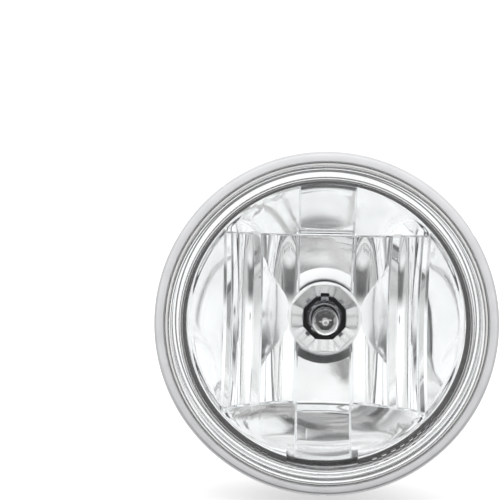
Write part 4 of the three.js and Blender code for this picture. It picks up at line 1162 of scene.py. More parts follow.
@dataclass
class Reflector:
    """Metallised bowl with a plain middle strip, two pairs of flutes and outer lobes."""

    rim: float = 45.0
    wall: float = 5.0
    flange: float = 2.2
    hole: float = 10.3
    strip: float = 9.0
    strip_depth: float = 1.2
    strip_step: float = 0.5
    inner_flute: tuple[float, float] = (9.9, 21.4)
    outer_flute: tuple[float, float] = (24.2, 31.0)
    lobe: float = 33.0
    lobe_depth: float = 1.1
    flute_depth: float = 1.6
    flute_crown: float = 1.5
    ledge: float = 28.0
    ledge_rise: float = 0.6
    cap_depth: float = 1.2
    edge_width: float = 0.5
    strip_end: tuple[float, float] = (1.5, 1.6)  # past the ledge, and how softly it ends
    rim_fade: tuple[float, float] = (0.9, 1.2)  # inside the rim, and how softly it ends
    back_hole: float = 4.0
    column_gap: float = 0.6
    middle_rows: int = 66
    cap_rows: int = 15
    crease: float = math.radians(40)

    @property
    def across_step(self) -> np.ndarray:
        """Places close together on both sides of a step."""
        return np.linspace(-0.36, 0.36, 9)

    def ledge_at(self, x: np.ndarray) -> np.ndarray:
        """How far the flutes' ends are above and below the axis."""
        share = np.clip((np.abs(x) - self.strip) / (self.outer_flute[1] - self.strip), 0, 1)
        return self.ledge + self.ledge_rise * share**2

    def past(self, value: np.ndarray, edge: Any, width: float | None = None) -> np.ndarray:
        """0 before an edge and 1 past it, with a smooth change across it."""
        share = np.clip((value - edge) / (width or self.edge_width) + 0.5, 0, 1)
        return share * share * (3 - 2 * share)

    def fluted(self, x: np.ndarray, z: np.ndarray, flute: tuple[float, float]) -> np.ndarray:
        """How far a pair of flutes lies behind the bowl."""
        start, end = flute
        across = self.past(x, start) * (1 - self.past(x, end))
        upright = 1 - self.past(z, self.ledge_at(x))
        share = (x - (start + end) / 2) / ((end - start) / 2)
        return across * upright * (self.flute_depth + self.flute_crown * (1 - share**2))

    def sunk(self, x: np.ndarray, z: np.ndarray) -> np.ndarray:
        """How far the surface lies behind the plain bowl.

        Args:
            x: Places across.
            z: Places upright.

        Returns:
            The distance back along Y.
        """
        x, z = np.abs(x), np.abs(z)
        past_ledge, softness = self.strip_end
        middle = 1 - self.past(z, self.ledge + past_ledge, softness)
        strip = (1 - self.past(x, self.strip)) * (self.strip_depth - self.strip_step * (1 - middle))
        share = np.clip((x - self.lobe) / (self.rim - self.lobe), 0, 1)
        lobe = self.past(x, self.lobe) * self.lobe_depth * (1 - share**2)
        flutes = self.fluted(x, z, self.inner_flute) + self.fluted(x, z, self.outer_flute)
        ledge = self.ledge_at(x)
        reach = np.sqrt(np.maximum(self.rim**2 - x * x, ledge**2 + 1))
        cap = self.past(z, ledge) * self.cap_depth * np.clip((reach - z) / (reach - ledge), 0, 1)
        cap = cap * (1 - self.past(x, self.lobe - 1, 2.0))
        inside, softness = self.rim_fade
        plain = self.past(np.hypot(x, z), self.rim - inside, softness)
        return (strip + lobe + flutes + cap) * (1 - plain)

    def columns(self) -> np.ndarray:
        """Places across the bowl, close together where the surface steps."""
        edges = [self.strip, *self.inner_flute, *self.outer_flute, self.lobe]
        near = [edge + offset for edge in edges for offset in self.across_step]
        even = np.arange(0, self.lobe, self.column_gap)
        plain = [x for x in even if all(abs(x - edge) > 0.45 for edge in edges)]
        first = math.asin((self.lobe + 0.5) / self.rim)
        outer = self.rim * np.sin(np.linspace(first, math.pi / 2, 18))
        right = np.array(sorted(plain + near + list(outer)))
        return np.concatenate([-right[:0:-1], right])

    def rows(self, x: float) -> np.ndarray:
        """Places up one column, from its lower end to its upper end."""
        reach = math.sqrt(max(self.rim**2 - x * x, 0))
        ledge = min(float(self.ledge_at(np.array(x))), 0.92 * reach)
        near = min(1.0, reach - ledge)
        steps = ledge + near * self.across_step
        cap = np.linspace(steps[-1], reach, self.cap_rows)[1:]
        upper = np.concatenate([steps, cap])
        middle = np.linspace(-steps[0], steps[0], self.middle_rows)[1:-1]
        return np.concatenate([-upper[::-1], middle, upper])

    def surfaces(self, front: Bowl, box: Extent) -> Workpiece:
        """The closed bowl without its middle hole.

        Args:
            front: The plain bowl that the flutes are sunk into.
            box: The reflector's box.

        Returns:
            The bowl with its flange and its back.
        """
        columns = self.columns()
        z = np.array([self.rows(float(x)) for x in columns])
        x = np.repeat(columns[:, None], z.shape[1], 1)
        y = front.vertex - (x * x + z * z) / (4 * front.focal) + self.sunk(x, z)
        vertices = np.stack([x, y, z], -1).reshape(-1, 3).tolist()
        wide, tall = z.shape
        faces = [
            (i * tall + j, (i + 1) * tall + j, (i + 1) * tall + j + 1, i * tall + j + 1)
            for i in range(wide - 1)
            for j in range(tall - 1)
        ]
        loop = [i * tall for i in range(wide)] + [i * tall + tall - 1 for i in range(wide - 2, 0, -1)]
        angles = [math.atan2(vertices[k][2], vertices[k][0]) for k in loop]
        back = front.behind(self.wall)
        rear = box.front + self.flange
        rings = [(box.radius, box.front), (box.radius, rear)]
        rings += back.curve(back.radius(rear), self.back_hole, 12)
        for radius, level in rings:
            start = len(vertices)
            vertices += [[radius * math.cos(a), level, radius * math.sin(a)] for a in angles]
            ring = list(range(start, start + len(loop)))
            faces += list(zip(loop, loop[1:] + loop[:1], ring[1:] + ring[:1], ring))
            loop = ring
        faces.append(tuple(loop))
        return Workpiece.of(vertices, faces)

    def build(self) -> Bowl:
        """Makes the reflector, and gives back its bowl."""
        box = Extent.of("reflector")
        front = Bowl(box.front + self.rim**2 / (4 * Bowl(0).focal))
        bowl = self.surfaces(front, box)
        bowl = bowl.cut(Workpiece.disc(self.hole, box.front - 5, box.rear + 5))
        bowl.fitted("reflector", Body.LAMP, CHROME, self.crease)
        return front


@dataclass
class Collar:
    """Chromed collar round the bulb, with an eight-sided funnel and a key slot."""

    edge_round: float = 0.5
    edge_step: float = 0.5
    tail_radius: float = 10.0
    cavity_radius: float = 8.8
    lip: float = 3.0
    sides: int = 8
    mouth: float = 14.4  # across flats, as the funnel's
    funnel: float = 22.0
    funnel_depth: float = 2.0
    key_width: float = 3.0
    key_depth: float = 1.3
    crease: float = math.radians(7)

    def build(self, bowl: Bowl) -> None:
        """Makes the collar.

        Args:
            bowl: The reflector's bowl, which the collar stands on.
        """
        box = Extent.of("bulb_collar")
        front, outer = box.front, box.radius
        seat = bowl.y(outer) - FIT_GAP
        corners: Corners = [
            (0, front, 0),
            (outer - self.edge_step, front, 0.15),
            (outer - self.edge_step, front + self.edge_step, 0.15),
            (outer, front + self.edge_step, self.edge_round),
            (outer, seat, CRISP),
            (self.tail_radius, seat, CRISP),
            (self.tail_radius, box.rear, CRISP),
            (self.cavity_radius, box.rear, CRISP),
            (self.cavity_radius, front + self.lip, 0.4),
            (0, front + self.lip, 0),
        ]
        blank = Workpiece.turned(rounded(corners, closed=False), 128)
        wide, narrow = many_sided(self.sides, self.funnel), many_sided(self.sides, self.mouth)
        funnel = Workpiece.tapered(wide, narrow, front, front + self.funnel_depth)
        above = Workpiece.slab(wide, front - PAST, front + 0.01)
        throat = Workpiece.slab(narrow, front - PAST, box.rear)
        deep = 2 * self.key_depth
        key = Workpiece.slab(oblong(self.key_width, deep, 0.3), front - PAST, front + self.lip + PAST)
        key = key.moved(z=self.mouth / 2)
        collar = blank.cut(funnel, above, throat, key).broken_edges(0.1, 1, 25)
        collar.fitted("bulb_collar", Body.LAMP, COLLAR_CHROME, self.crease)


# ------------------------------------------------------------------ bulb


@dataclass
class Bulb:
    """Halogen capsule in a black twist-lock base with a two-blade connector."""

    rules: Rules
    capsule_wall: float = 0.5
    tip_radius: float = 0.55
    tip_neck: tuple[float, float] = (1.0, 0.75)  # radius, and how far behind the tip
    dome: tuple[float, float] = (1.1, 3.2)  # how far behind the tip, and its round
    coil_radius: float = 0.55
    coil_length: float = 3.4
    coil_turns: float = 9.0
    coil_wire: float = 0.13
    lead_radius: float = 0.2
    lead_spread: float = 1.7
    lead_bends: tuple[float, ...] = (0.0, 0.6, 0.3, 0.0)
    sleeve_wall: float = 0.7
    sleeve_gap: float = 0.25  # round the capsule
    sleeve_foot: float = 0.8
    tab: tuple[float, float, float] = (1.7, 1.1, 0.2)  # width, thickness, corner
    tab_count: int = 4
    sleeve_key: tuple[float, float, float] = (2.6, 1.6, 0.3)
    post_radius: float = 8.0
    shank_radius: float = 10.0
    flange_radius: float = 15.0
    flange_rear: float = -4.6
    flange_front: float = -7.6
    shank_front: float = -14.7
    lug_radius: float = 12.5
    lug_height: float = 2.5
    lug_angle: float = 36.0
    lug_count: int = 3
    grip: tuple[float, float, float] = (1.5, 4.0, 0.5)  # width, depth, corner
    grip_count: int = 30
    connector: tuple[float, float, float] = (19.0, 14.0, 2.0)
    connector_wall: float = 1.5
    connector_floor: float = -1.0
    latch: tuple[float, float, float] = (7.0, 3.0, 0.5)
    blade_slot: tuple[float, float, float] = (3.4, 1.4, 0.2)
    blade_place: float = 3.5
    seal_inner: float = 10.6
    blade_chamfer: tuple[float, float] = (0.7, 1.2)

    def capsule(self) -> None:
        """Makes the glass capsule with its sealed-off tip."""
        box = Extent.of("bulb_capsule")
        radius, inner = box.radius, box.radius - self.capsule_wall
        tip = box.front
        neck_radius, neck_depth = self.tip_neck
        dome_depth, dome_round = self.dome
        corners: Corners = [
            (0, tip, 0),
            (self.tip_radius, tip, 0.4),
            (neck_radius, tip + neck_depth, 0.5),
            (radius, tip + dome_depth, dome_round),
            (radius, box.rear, CRISP),
            (inner, box.rear, CRISP),
            (inner, tip + dome_depth + self.capsule_wall, dome_round - 0.6),
            (0, tip + 1.2 + self.capsule_wall, 0),
        ]
        made = Workpiece.turned(rounded(corners, closed=False, step=8), 72)
        made.fitted("bulb_capsule", Body.BULB, QUARTZ)

    def filament(self, focus: float) -> None:
        """Makes the coil and its two leads.

        Args:
            focus: The middle of the coil along Y.
        """
        box = Extent.of("bulb_filament")
        front, back = focus - self.coil_length / 2, focus + self.coil_length / 2
        size = (self.coil_radius, self.coil_length, self.coil_turns, self.coil_wire)
        coil = self.rules.wound(*size, 6, TUNGSTEN).moved(y=front)
        rim = self.coil_radius
        spread, turn = self.lead_spread, front - 0.9
        long_lead = [(-spread, box.rear), (-spread, turn), (-0.3, turn)]
        short_lead = [(spread, box.rear), (spread, back + 1.2), (rim, back + 0.1)]
        leads = []
        for corners, last in ((long_lead, (rim, front)), (short_lead, (rim, back))):
            bends = [(*place, bend) for place, bend in zip([*corners, last], self.lead_bends)]
            points = [Vector((a, b, 0.0)) for a, b in rounded(bends, closed=False)]
            leads.append(Workpiece.rod(points, self.lead_radius))
        coil.beside(*leads).fitted("bulb_filament", Body.BULB, TUNGSTEN)

    def sleeve(self) -> None:
        """Makes the metal sleeve that holds the capsule, with its four folded tabs."""
        box = Extent.of("bulb_sleeve")
        inner = Extent.of("bulb_capsule").radius + self.sleeve_gap
        outer = inner + self.sleeve_wall
        front, rear = box.front + 0.8, box.rear
        corners = [
            (inner, front, CRISP),
            (outer, front, CRISP),
            (outer, rear - 1, SOFT),
            (outer + self.sleeve_foot, rear - 0.6, CRISP),
            (outer + self.sleeve_foot, rear, 0.1),
            (inner, rear, 0.1),
        ]
        sleeve = Workpiece.turned(rounded(corners), Workpiece.SMALL_ROUND)
        tab = Workpiece.slab(oblong(*self.tab), box.front, front + 1.6).broken_edges(0.15)
        tab = tab.moved(z=inner + 0.65)
        tabs = self.rules.around(tab, self.tab_count, SHADE_DARKENED_STEEL, 180 / self.tab_count)
        key = Workpiece.slab(oblong(*self.sleeve_key), rear - 1.2, rear).broken_edges(0.2)
        whole = sleeve.fused(tabs, key.moved(z=outer + 1.2))
        # painted shade: the sleeve and its tabs are dark for the shade inside the collar's mouth
        whole.fitted("bulb_sleeve", Body.BULB, SHADE_DARKENED_STEEL)

    def base(self) -> None:
        """Makes the base, with its bayonet lugs, gripped flange and connector shroud."""
        box = Extent.of("bulb_base")
        corners: Corners = [
            (0, box.front, 0),
            (self.post_radius - 1.6, box.front, CRISP),
            (self.post_radius - 1.2, box.front + 0.6, CRISP),
            (self.post_radius, box.front + 0.6, 0.5),
            (self.post_radius, self.shank_front, SOFT),
            (self.shank_radius, self.shank_front, 0.5),
            (self.shank_radius, self.flange_front, SOFT),
            (self.flange_radius, self.flange_front, 0.6),
            (self.flange_radius, self.flange_rear, 0.6),
            (0, self.flange_rear, 0),
        ]
        made = Workpiece.turned(rounded(corners, closed=False), 96)
        half = math.radians(self.lug_angle / 2)
        spread = 2 * self.lug_radius * math.sin(half)
        reach = self.lug_radius - self.shank_radius + 1
        front = self.shank_front
        lug = Workpiece.slab(oblong(spread, 2 * reach, 0.6), front, front + self.lug_height)
        lug = lug.moved(z=self.shank_radius - 1).broken_edges(0.2)
        lug = lug.common(Workpiece.disc(self.lug_radius, front - PAST, self.flange_front, 96))
        lugs = self.rules.around(lug, self.lug_count, BLACK_PLASTIC)
        width, height, corner = self.connector
        wall = 2 * self.connector_wall
        rear, floor, back = box.rear, self.connector_floor, self.flange_rear
        shroud = Workpiece.slab(oblong(width, height, corner), back - PAST, rear).broken_edges(0.35)
        latch = Workpiece.slab(oblong(*self.latch), rear - 9, rear - 4.5).broken_edges(0.4)
        foot = Workpiece.slab(oblong(width + 4, height + 2, 3.0), back - PAST, back + 1.4)
        socket = Workpiece.slab(oblong(width - wall, height - wall, 1.0), floor, rear + PAST)
        notch = Workpiece.slab(oblong(*self.grip), self.flange_front - PAST, back + PAST)
        notch = notch.moved(z=self.flange_radius + 1.2)
        grips = self.rules.around(notch, self.grip_count, BLACK_PLASTIC, 180 / self.grip_count)
        made = made.fused(lugs, foot.broken_edges(0.4), shroud)
        made = made.fused(latch.moved(z=height / 2)).cut(socket, grips)
        for side in Side:
            outline = oblong(*self.blade_slot)
            slot = Workpiece.slab(outline, self.flange_front - FIT_GAP, floor + PAST)
            made = made.cut(slot.moved(x=side.value * self.blade_place))
        made.fitted("bulb_base", Body.BULB, BLACK_PLASTIC)

    def seal(self) -> None:
        """Makes the round seal behind the neck's lip."""
        box = Extent.of("bulb_seal")
        middle = (self.seal_inner + box.radius) / 2
        width, height = (box.radius - self.seal_inner) / 2, (box.rear - box.front) / 2
        section = [
            (middle + width * math.cos(a), box.centre.y + height * math.sin(a))
            for a in np.linspace(0, 2 * math.pi, 24, endpoint=False)
        ]
        Workpiece.turned(section, 96).fitted("bulb_seal", Body.BULB, BLACK_RUBBER)

    def terminals(self) -> None:
        """Makes the two blades with their chamfered ends."""
        aside, long = self.blade_chamfer
        for side in Side:
            node = "terminal_" + side.name.lower()
            box = Extent.of(node)
            half = box.radius
            blade = [
                (-half, box.front),
                (half, box.front),
                (half, box.rear - long),
                (half - aside, box.rear),
                (-half + aside, box.rear),
                (-half, box.rear - long),
            ]
            thick = (box.high.z - box.low.z) / 2
            made = Workpiece.slab([(b, a) for a, b in blade], -thick, thick, "X").spun("Y", 90)
            made = made.broken_edges(0.12).moved(x=box.centre.x, z=box.centre.z)
            made.fitted(node, Body.BULB, TINNED_BRASS)

    def build(self, bowl: Bowl) -> None:
        """Makes the whole bulb.

        Args:
            bowl: The reflector's bowl, at whose focus the filament sits.
        """
        self.capsule()
        self.filament(bowl.vertex - bowl.focal)
        self.sleeve()
        self.base()
        self.seal()
        self.terminals()


# ------------------------------------------------------------------ housing


@dataclass
class Housing:
    """Black moulded shell behind the bowl, with ribs, neck, pivots, adjuster lug and vent."""

    rules: Rules
    wall: float = 2.5
    air: float = 1.5
    flange: float = 2.5
    reflector_wall: float = 5.0
    neck_radius: float = 16.7
    neck_cavity: float = 13.1
    neck_bore: float = 10.3
    neck_lip: float = 4.0
    neck_seat: float = 1.8
    slot: tuple[float, float, float] = (8.8, 6.0, 0.5)  # width, depth, corner
    slot_place: float = 9.9
    slot_angle: float = 45.0
    slot_count: int = 3
    rib_count: int = 8
    rib_root: float = 12.0
    rib_thickness: float = 2.0
    rib_setback: float = 4.0
    rib_reach: float = 39.0
    boss_radius: float = 6.5
    bore_radius: float = 3.3
    bore_floor: float = 1.2
    lug_half_width: float = 6.8
    lug_half_length: float = 4.5
    screw_way: float = 4.0
    nut_flats: float = 9.0
    nut_length: float = 6.0
    vent_radius: float = 3.6
    vent_bore: float = 1.6
    vent_length: float = 8.0
    cap_roof: float = 1.8
    cap_slot: tuple[float, float, float] = (1.4, 6.0, 0.3)
    cap_slots: int = 6

    def shell(self, outer: Bowl, box: Extent) -> Workpiece:
        """The outside of the shell, solid."""
        rear = box.front + self.flange
        meets = outer.radius(rear)
        corners: Corners = [
            (0, box.front, 0),
            (box.radius, box.front, SOFT),
            (box.radius, rear, 0.8),
            (meets, rear, 0.8),
        ]
        side = [(r, y, 0.0) for r, y in outer.curve(meets - 1.5, self.neck_radius + 1.2, 28)]
        neck: Corners = [
            (self.neck_radius, outer.y(self.neck_radius), 1.5),
            (self.neck_radius, box.rear, 0.7),
            (0, box.rear, 0),
        ]
        return Workpiece.turned(rounded([*corners, *side, *neck], closed=False))

    def hollow(self, inner: Bowl, box: Extent) -> Workpiece:
        """What is cut from the inside of the shell and its neck."""
        mouth = inner.radius(box.front - 1)
        lip = box.rear - self.neck_lip
        bowl = inner.curve(mouth, self.neck_cavity, 20)
        outline = [(0.0, box.front - 1), *bowl, (self.neck_cavity, lip), (0.0, lip)]
        bore = Workpiece.disc(self.neck_bore, lip - PAST, box.rear + PAST, 96)
        seat = Workpiece.disc(self.neck_cavity, box.rear - self.neck_seat, box.rear + PAST, 96)
        slot = Workpiece.slab(oblong(*self.slot), lip - PAST, box.rear + PAST).moved(z=self.slot_place)
        slots = self.rules.around(slot, self.slot_count, BLACK_PLASTIC, self.slot_angle)
        return Workpiece.turned(outline).fused(bore, seat, slots)

    def rib(self, outer: Bowl, box: Extent) -> Workpiece:
        """One thin web from the neck out along the bowl's back, above the axis."""
        rear = box.front + self.flange
        top = box.rear - self.rib_setback
        corners = [
            (rear, self.rib_root, 0),
            (rear, self.rib_reach + 4, 0.8),
            (outer.y(self.rib_reach) + 1, self.rib_reach, 3.0),
            (top - 0.6, self.neck_radius + 5, 3.0),
            (top, self.neck_radius + 1.5, 1.2),
            (top, self.rib_root, 0),
        ]
        half = self.rib_thickness / 2
        return Workpiece.slab(rounded(corners), -half, half, "X").broken_edges(0.4)

    def bosses(
        self, inner: Bowl, pivot: float, boss_end: float
    ) -> tuple[list[Workpiece], list[Workpiece]]:
        """The pivots' bosses and their blind holes.

        Args:
            inner: The shell's inside.
            pivot: The pivots' place along Y.
            boss_end: The bosses' ends along X.

        Returns:
            What is added and what is cut.
        """
        hole_end = inner.radius(pivot - self.bore_radius) + self.bore_floor
        added, bored = [], []
        for side in Side:
            radius = self.boss_radius
            corners = [(0, -boss_end, 0), (radius, -boss_end, 0.6), (radius, 0, 0), (0, 0, 0)]
            boss = Workpiece.turned(rounded(corners, closed=False), Workpiece.SMALL_ROUND)
            added.append(boss.onto_x(side, pivot))
            hole = Workpiece.disc(self.bore_radius, -boss_end - 2, -hole_end, 40)
            bored.append(hole.onto_x(side, pivot))
        return added, bored

    def lug(self, pivot: float, axis: float) -> tuple[Workpiece, list[Workpiece]]:
        """The adjuster's lug and its pocket.

        Args:
            pivot: The pivots' place along Y.
            axis: The adjuster's height.

        Returns:
            What is added and what is cut.
        """
        front, rear = pivot - self.lug_half_length, pivot + self.lug_half_length
        half, bottom = self.lug_half_width, axis - self.lug_half_width
        outline = rounded([(-half, bottom, 2.2), (half, bottom, 2.2), (half, 0, 0), (-half, 0, 0)])
        body = Workpiece.slab(outline, front, rear).broken_edges(0.5)
        side = self.nut_flats + 2 * FIT_GAP
        floor = rear - self.nut_length - FIT_GAP
        pocket = Workpiece.slab(oblong(side, side, 0.4), floor, rear + PAST).moved(z=axis)
        way = Workpiece.disc(self.screw_way, front - 6, floor + PAST, Workpiece.SMALL_ROUND)
        return body, [pocket, way.moved(z=axis)]

    def build(self, bowl: Bowl) -> None:
        """Makes the housing and its vent cap.

        Args:
            bowl: The reflector's bowl.
        """
        box = Extent.of("housing")
        inner = bowl.behind(self.reflector_wall + self.air)
        outer = inner.behind(self.wall)
        bush, nut = Extent.of("pivot_bush_right"), Extent.of("adjuster_nut")
        pivot = bush.centre.y
        rib, half_step = self.rib(outer, box), 180 / self.rib_count
        ribs = self.rules.around(rib, self.rib_count, BLACK_PLASTIC, half_step)
        added, bored = self.bosses(inner, pivot, bush.low.x - FIT_GAP)
        lug, pocket = self.lug(pivot, nut.centre.z)
        height = Extent.of("vent_cap").centre.z
        surface = outer.y(height)
        end = surface + self.vent_length
        spout = Workpiece.disc(self.vent_radius, surface - self.wall, end, 48).broken_edges(0.3)
        drill = Workpiece.disc(self.vent_bore, box.front, end + PAST, 24)
        shell = self.shell(outer, box).fused(ribs, lug, *added, spout.moved(z=height))
        shell = shell.cut(self.hollow(inner, box), *pocket, *bored, drill.moved(z=height))
        shell.fitted("housing", Body.LAMP, BLACK_PLASTIC)
        self.vent_cap()

    def vent_cap(self) -> None:
        """Makes the rubber cap on the vent, with breathing slots round its skirt."""
        box = Extent.of("vent_cap")
        outer, inner = box.radius, self.vent_radius + FIT_GAP
        roof = box.rear - self.cap_roof
        corners: Corners = [
            (0, box.rear, 0),
            (outer, box.rear, 1.2),
            (outer, box.front, 0.4),
            (inner, box.front, SOFT),
            (inner, roof, CRISP),
            (0, roof, 0),
        ]
        cap = Workpiece.turned(rounded(corners, closed=False), Workpiece.SMALL_ROUND)
        slot = Workpiece.slab(oblong(*self.cap_slot), box.front - PAST, box.front + 2.2)
        cap = cap.cut(self.rules.around(slot.moved(z=5.0), self.cap_slots, BLACK_RUBBER))
        cap.moved(z=box.centre.z).fitted("vent_cap", Body.LAMP, BLACK_RUBBER)


# ------------------------------------------------------------------ bracket and pivots


@dataclass
class Bracket:
    """Folded steel bracket: hub, wings, arms and a tongue down to the adjuster."""

    sheet: float = 2.2
    bend: float = 3.4
    hub_radius: float = 30.0
    access_radius: float = 20.0
    wing: float = 14.0
    arm_end: float = 7.0
    tongue: float = 9.0
    root_round: float = 4.0
    bolt_spacing: float = 60.0
    bolt_radius: float = 3.3
    bush_hole: float = 4.8
    shoulder_round: float = 5.0
    edge_break: float = 0.22
    bend_cuts: int = 10
    nut_flats: float = 10.0
    nut_chamfer: tuple[float, float] = (0.9, 0.7)  # across and along
    nut_bore: float = 3.0
    nut_mouth: float = 3.9

    @property
    def bend_length(self) -> float:
        """Length of sheet that a bend takes up, at the middle of the sheet."""
        return math.pi / 2 * (self.bend - self.sheet / 2)

    def root(self, reach: float, along_x: bool) -> tuple[tuple[float, float], tuple[float, float]]:
        """The round between the hub and a wing or the tongue, in the first quarter.

        Args:
            reach: The wing's half height or the tongue's half width.
            along_x: Whether the straight edge runs along the first axis.

        Returns:
            The round's centre, and where it leaves the hub.
        """
        near = reach + self.root_round
        whole = self.hub_radius + self.root_round
        far = math.sqrt(whole**2 - near**2)
        centre = (far, near) if along_x else (near, far)
        share = self.hub_radius / whole
        return centre, (centre[0] * share, centre[1] * share)

    @staticmethod
    def bearing(point: tuple[float, float], centre: tuple[float, float] = (0.0, 0.0)) -> float:
        """The angle in degrees at which a point lies from a centre."""
        return math.degrees(math.atan2(point[1] - centre[1], point[0] - centre[0]))

    def quarter_above(self, flat: float, arm: float) -> Outline:
        """The outline's upper right quarter, from the arm's end to the top of the hub."""
        centre, leaves = self.root(self.wing, True)
        shoulder = flat + self.bend_length + 1
        tip = arc((arm, 0), self.arm_end, 0, 84)
        bend = (shoulder, self.wing, self.shoulder_round)
        wing = rounded([(*tip[-1], 0), bend, (centre[0], self.wing, 0)], closed=False)
        root = arc(centre, self.root_round, -90, self.bearing(leaves, centre))
        hub = arc((0, 0), self.hub_radius, self.bearing(leaves), 90, 3)
        return tip + wing[1:-1] + root + hub[1:]

    def outline(self, flat: float, arm: float, axis: float) -> Outline:
        """The unfolded sheet's outline.

        Args:
            flat: Where the bend starts.
            arm: The pivot's place on the unfolded arm.
            axis: The adjuster's height.

        Returns:
            Its points, anticlockwise from the right arm's end.
        """
        upper = self.quarter_above(flat, arm)
        centre, leaves = self.root(self.tongue, False)
        _, leaves_wing = self.root(self.wing, True)
        lower = [p for p in upper if p[0] >= leaves_wing[0]]
        hub = arc((0, 0), self.hub_radius, self.bearing(leaves_wing), self.bearing(leaves), 3)
        root = arc(centre, self.root_round, self.bearing(leaves, centre), -180)
        end = arc((0, -axis), self.tongue, 0, 90)
        lower = lower + hub[1:] + root[1:] + end
        top = upper + [(-a, b) for a, b in reversed(upper[:-1])]
        bottom = [(-a, -b) for a, b in lower] + [(a, -b) for a, b in reversed(lower[:-1])]
        return top + bottom[1:-1]

    def folded(self, flat: float) -> Callable[[bmesh.types.BMesh], None]:
        """The edit that cuts the sheet across its bends and folds it.

        Args:
            flat: Where the bend starts.

        Returns:
            The edit.
        """
        radius = self.bend - self.sheet / 2
        places = np.linspace(flat, flat + self.bend_length, self.bend_cuts)

        def edit(work: bmesh.types.BMesh) -> None:
            """Cuts across the bends and moves every point to its folded place."""
            for x in [*places, *-places]:
                geometry = [*work.verts, *work.edges, *work.faces]
                bmesh.ops.bisect_plane(
                    work, geom=geometry, dist=MERGE, plane_co=(x, 0, 0), plane_no=(1, 0, 0)
                )
            for vertex in work.verts:
                side = math.copysign(1, vertex.co.x)
                along = abs(vertex.co.x) - flat
                if along <= 0:
                    continue
                angle = min(along / radius, math.pi / 2)
                rest = max(along - self.bend_length, 0)
                reach = self.bend + vertex.co.y
                vertex.co.x = side * (flat + reach * math.sin(angle))
                vertex.co.y = -self.bend + reach * math.cos(angle) - rest

        return edit

    def build(self) -> None:
        """Makes the bracket and its two weld nuts."""
        box = Extent.of("mounting_bracket")
        pivot = Extent.of("pivot_bush_right").centre.y
        axis = Extent.of("adjuster_bush").centre.z
        flat = box.radius - self.bend
        arm = flat + self.bend_length - pivot - self.bend
        sheet = Workpiece.slab(self.outline(flat, arm, axis), -self.sheet, 0)
        holes = [(0.0, 0.0, self.access_radius), (0.0, axis, self.bush_hole)]
        holes += [(s.value * self.bolt_spacing / 2, 0.0, self.bolt_radius) for s in Side]
        holes += [(s.value * arm, 0.0, self.bush_hole) for s in Side]
        for x, z, radius in holes:
            sides = 120 if radius > self.hub_radius / 2 else 48
            sheet = sheet.cut(Workpiece.disc(radius, -2 * self.sheet, 1, sides).moved(x=x, z=z))
        sheet = sheet.broken_edges(self.edge_break).edited(self.folded(flat))
        sheet.fitted("mounting_bracket", Body.BRACKET, ZINC_STEEL)
        for side in Side:
            self.weld_nut(side)

    def weld_nut(self, side: Side) -> None:
        """Makes the weld nut of one side, chamfered at its free end."""
        node = "weld_nut_" + side.name.lower()
        box = Extent.of(node)
        corner = self.nut_flats / 2 / math.cos(math.pi / 6)
        body = Workpiece.slab(many_sided(6, self.nut_flats), box.front, box.rear)
        across, along = self.nut_chamfer
        chamfer = [
            (0, box.front),
            (corner - across, box.front),
            (corner + 0.1, box.front + along),
            (corner + 0.1, box.rear),
            (0, box.rear),
        ]
        body = body.common(Workpiece.turned(chamfer, 96))
        bore = [
            (0, box.front - 1),
            (self.nut_mouth, box.front - 1),
            (self.nut_mouth, box.front),
            (self.nut_bore, box.front + self.nut_mouth - self.nut_bore),
            (self.nut_bore, box.rear + 1),
            (0, box.rear + 1),
        ]
        body = body.cut(Workpiece.turned(bore, 48)).broken_edges(0.1, 1)
        body.moved(x=box.centre.x).fitted(node, Body.BRACKET, ZINC_STEEL)


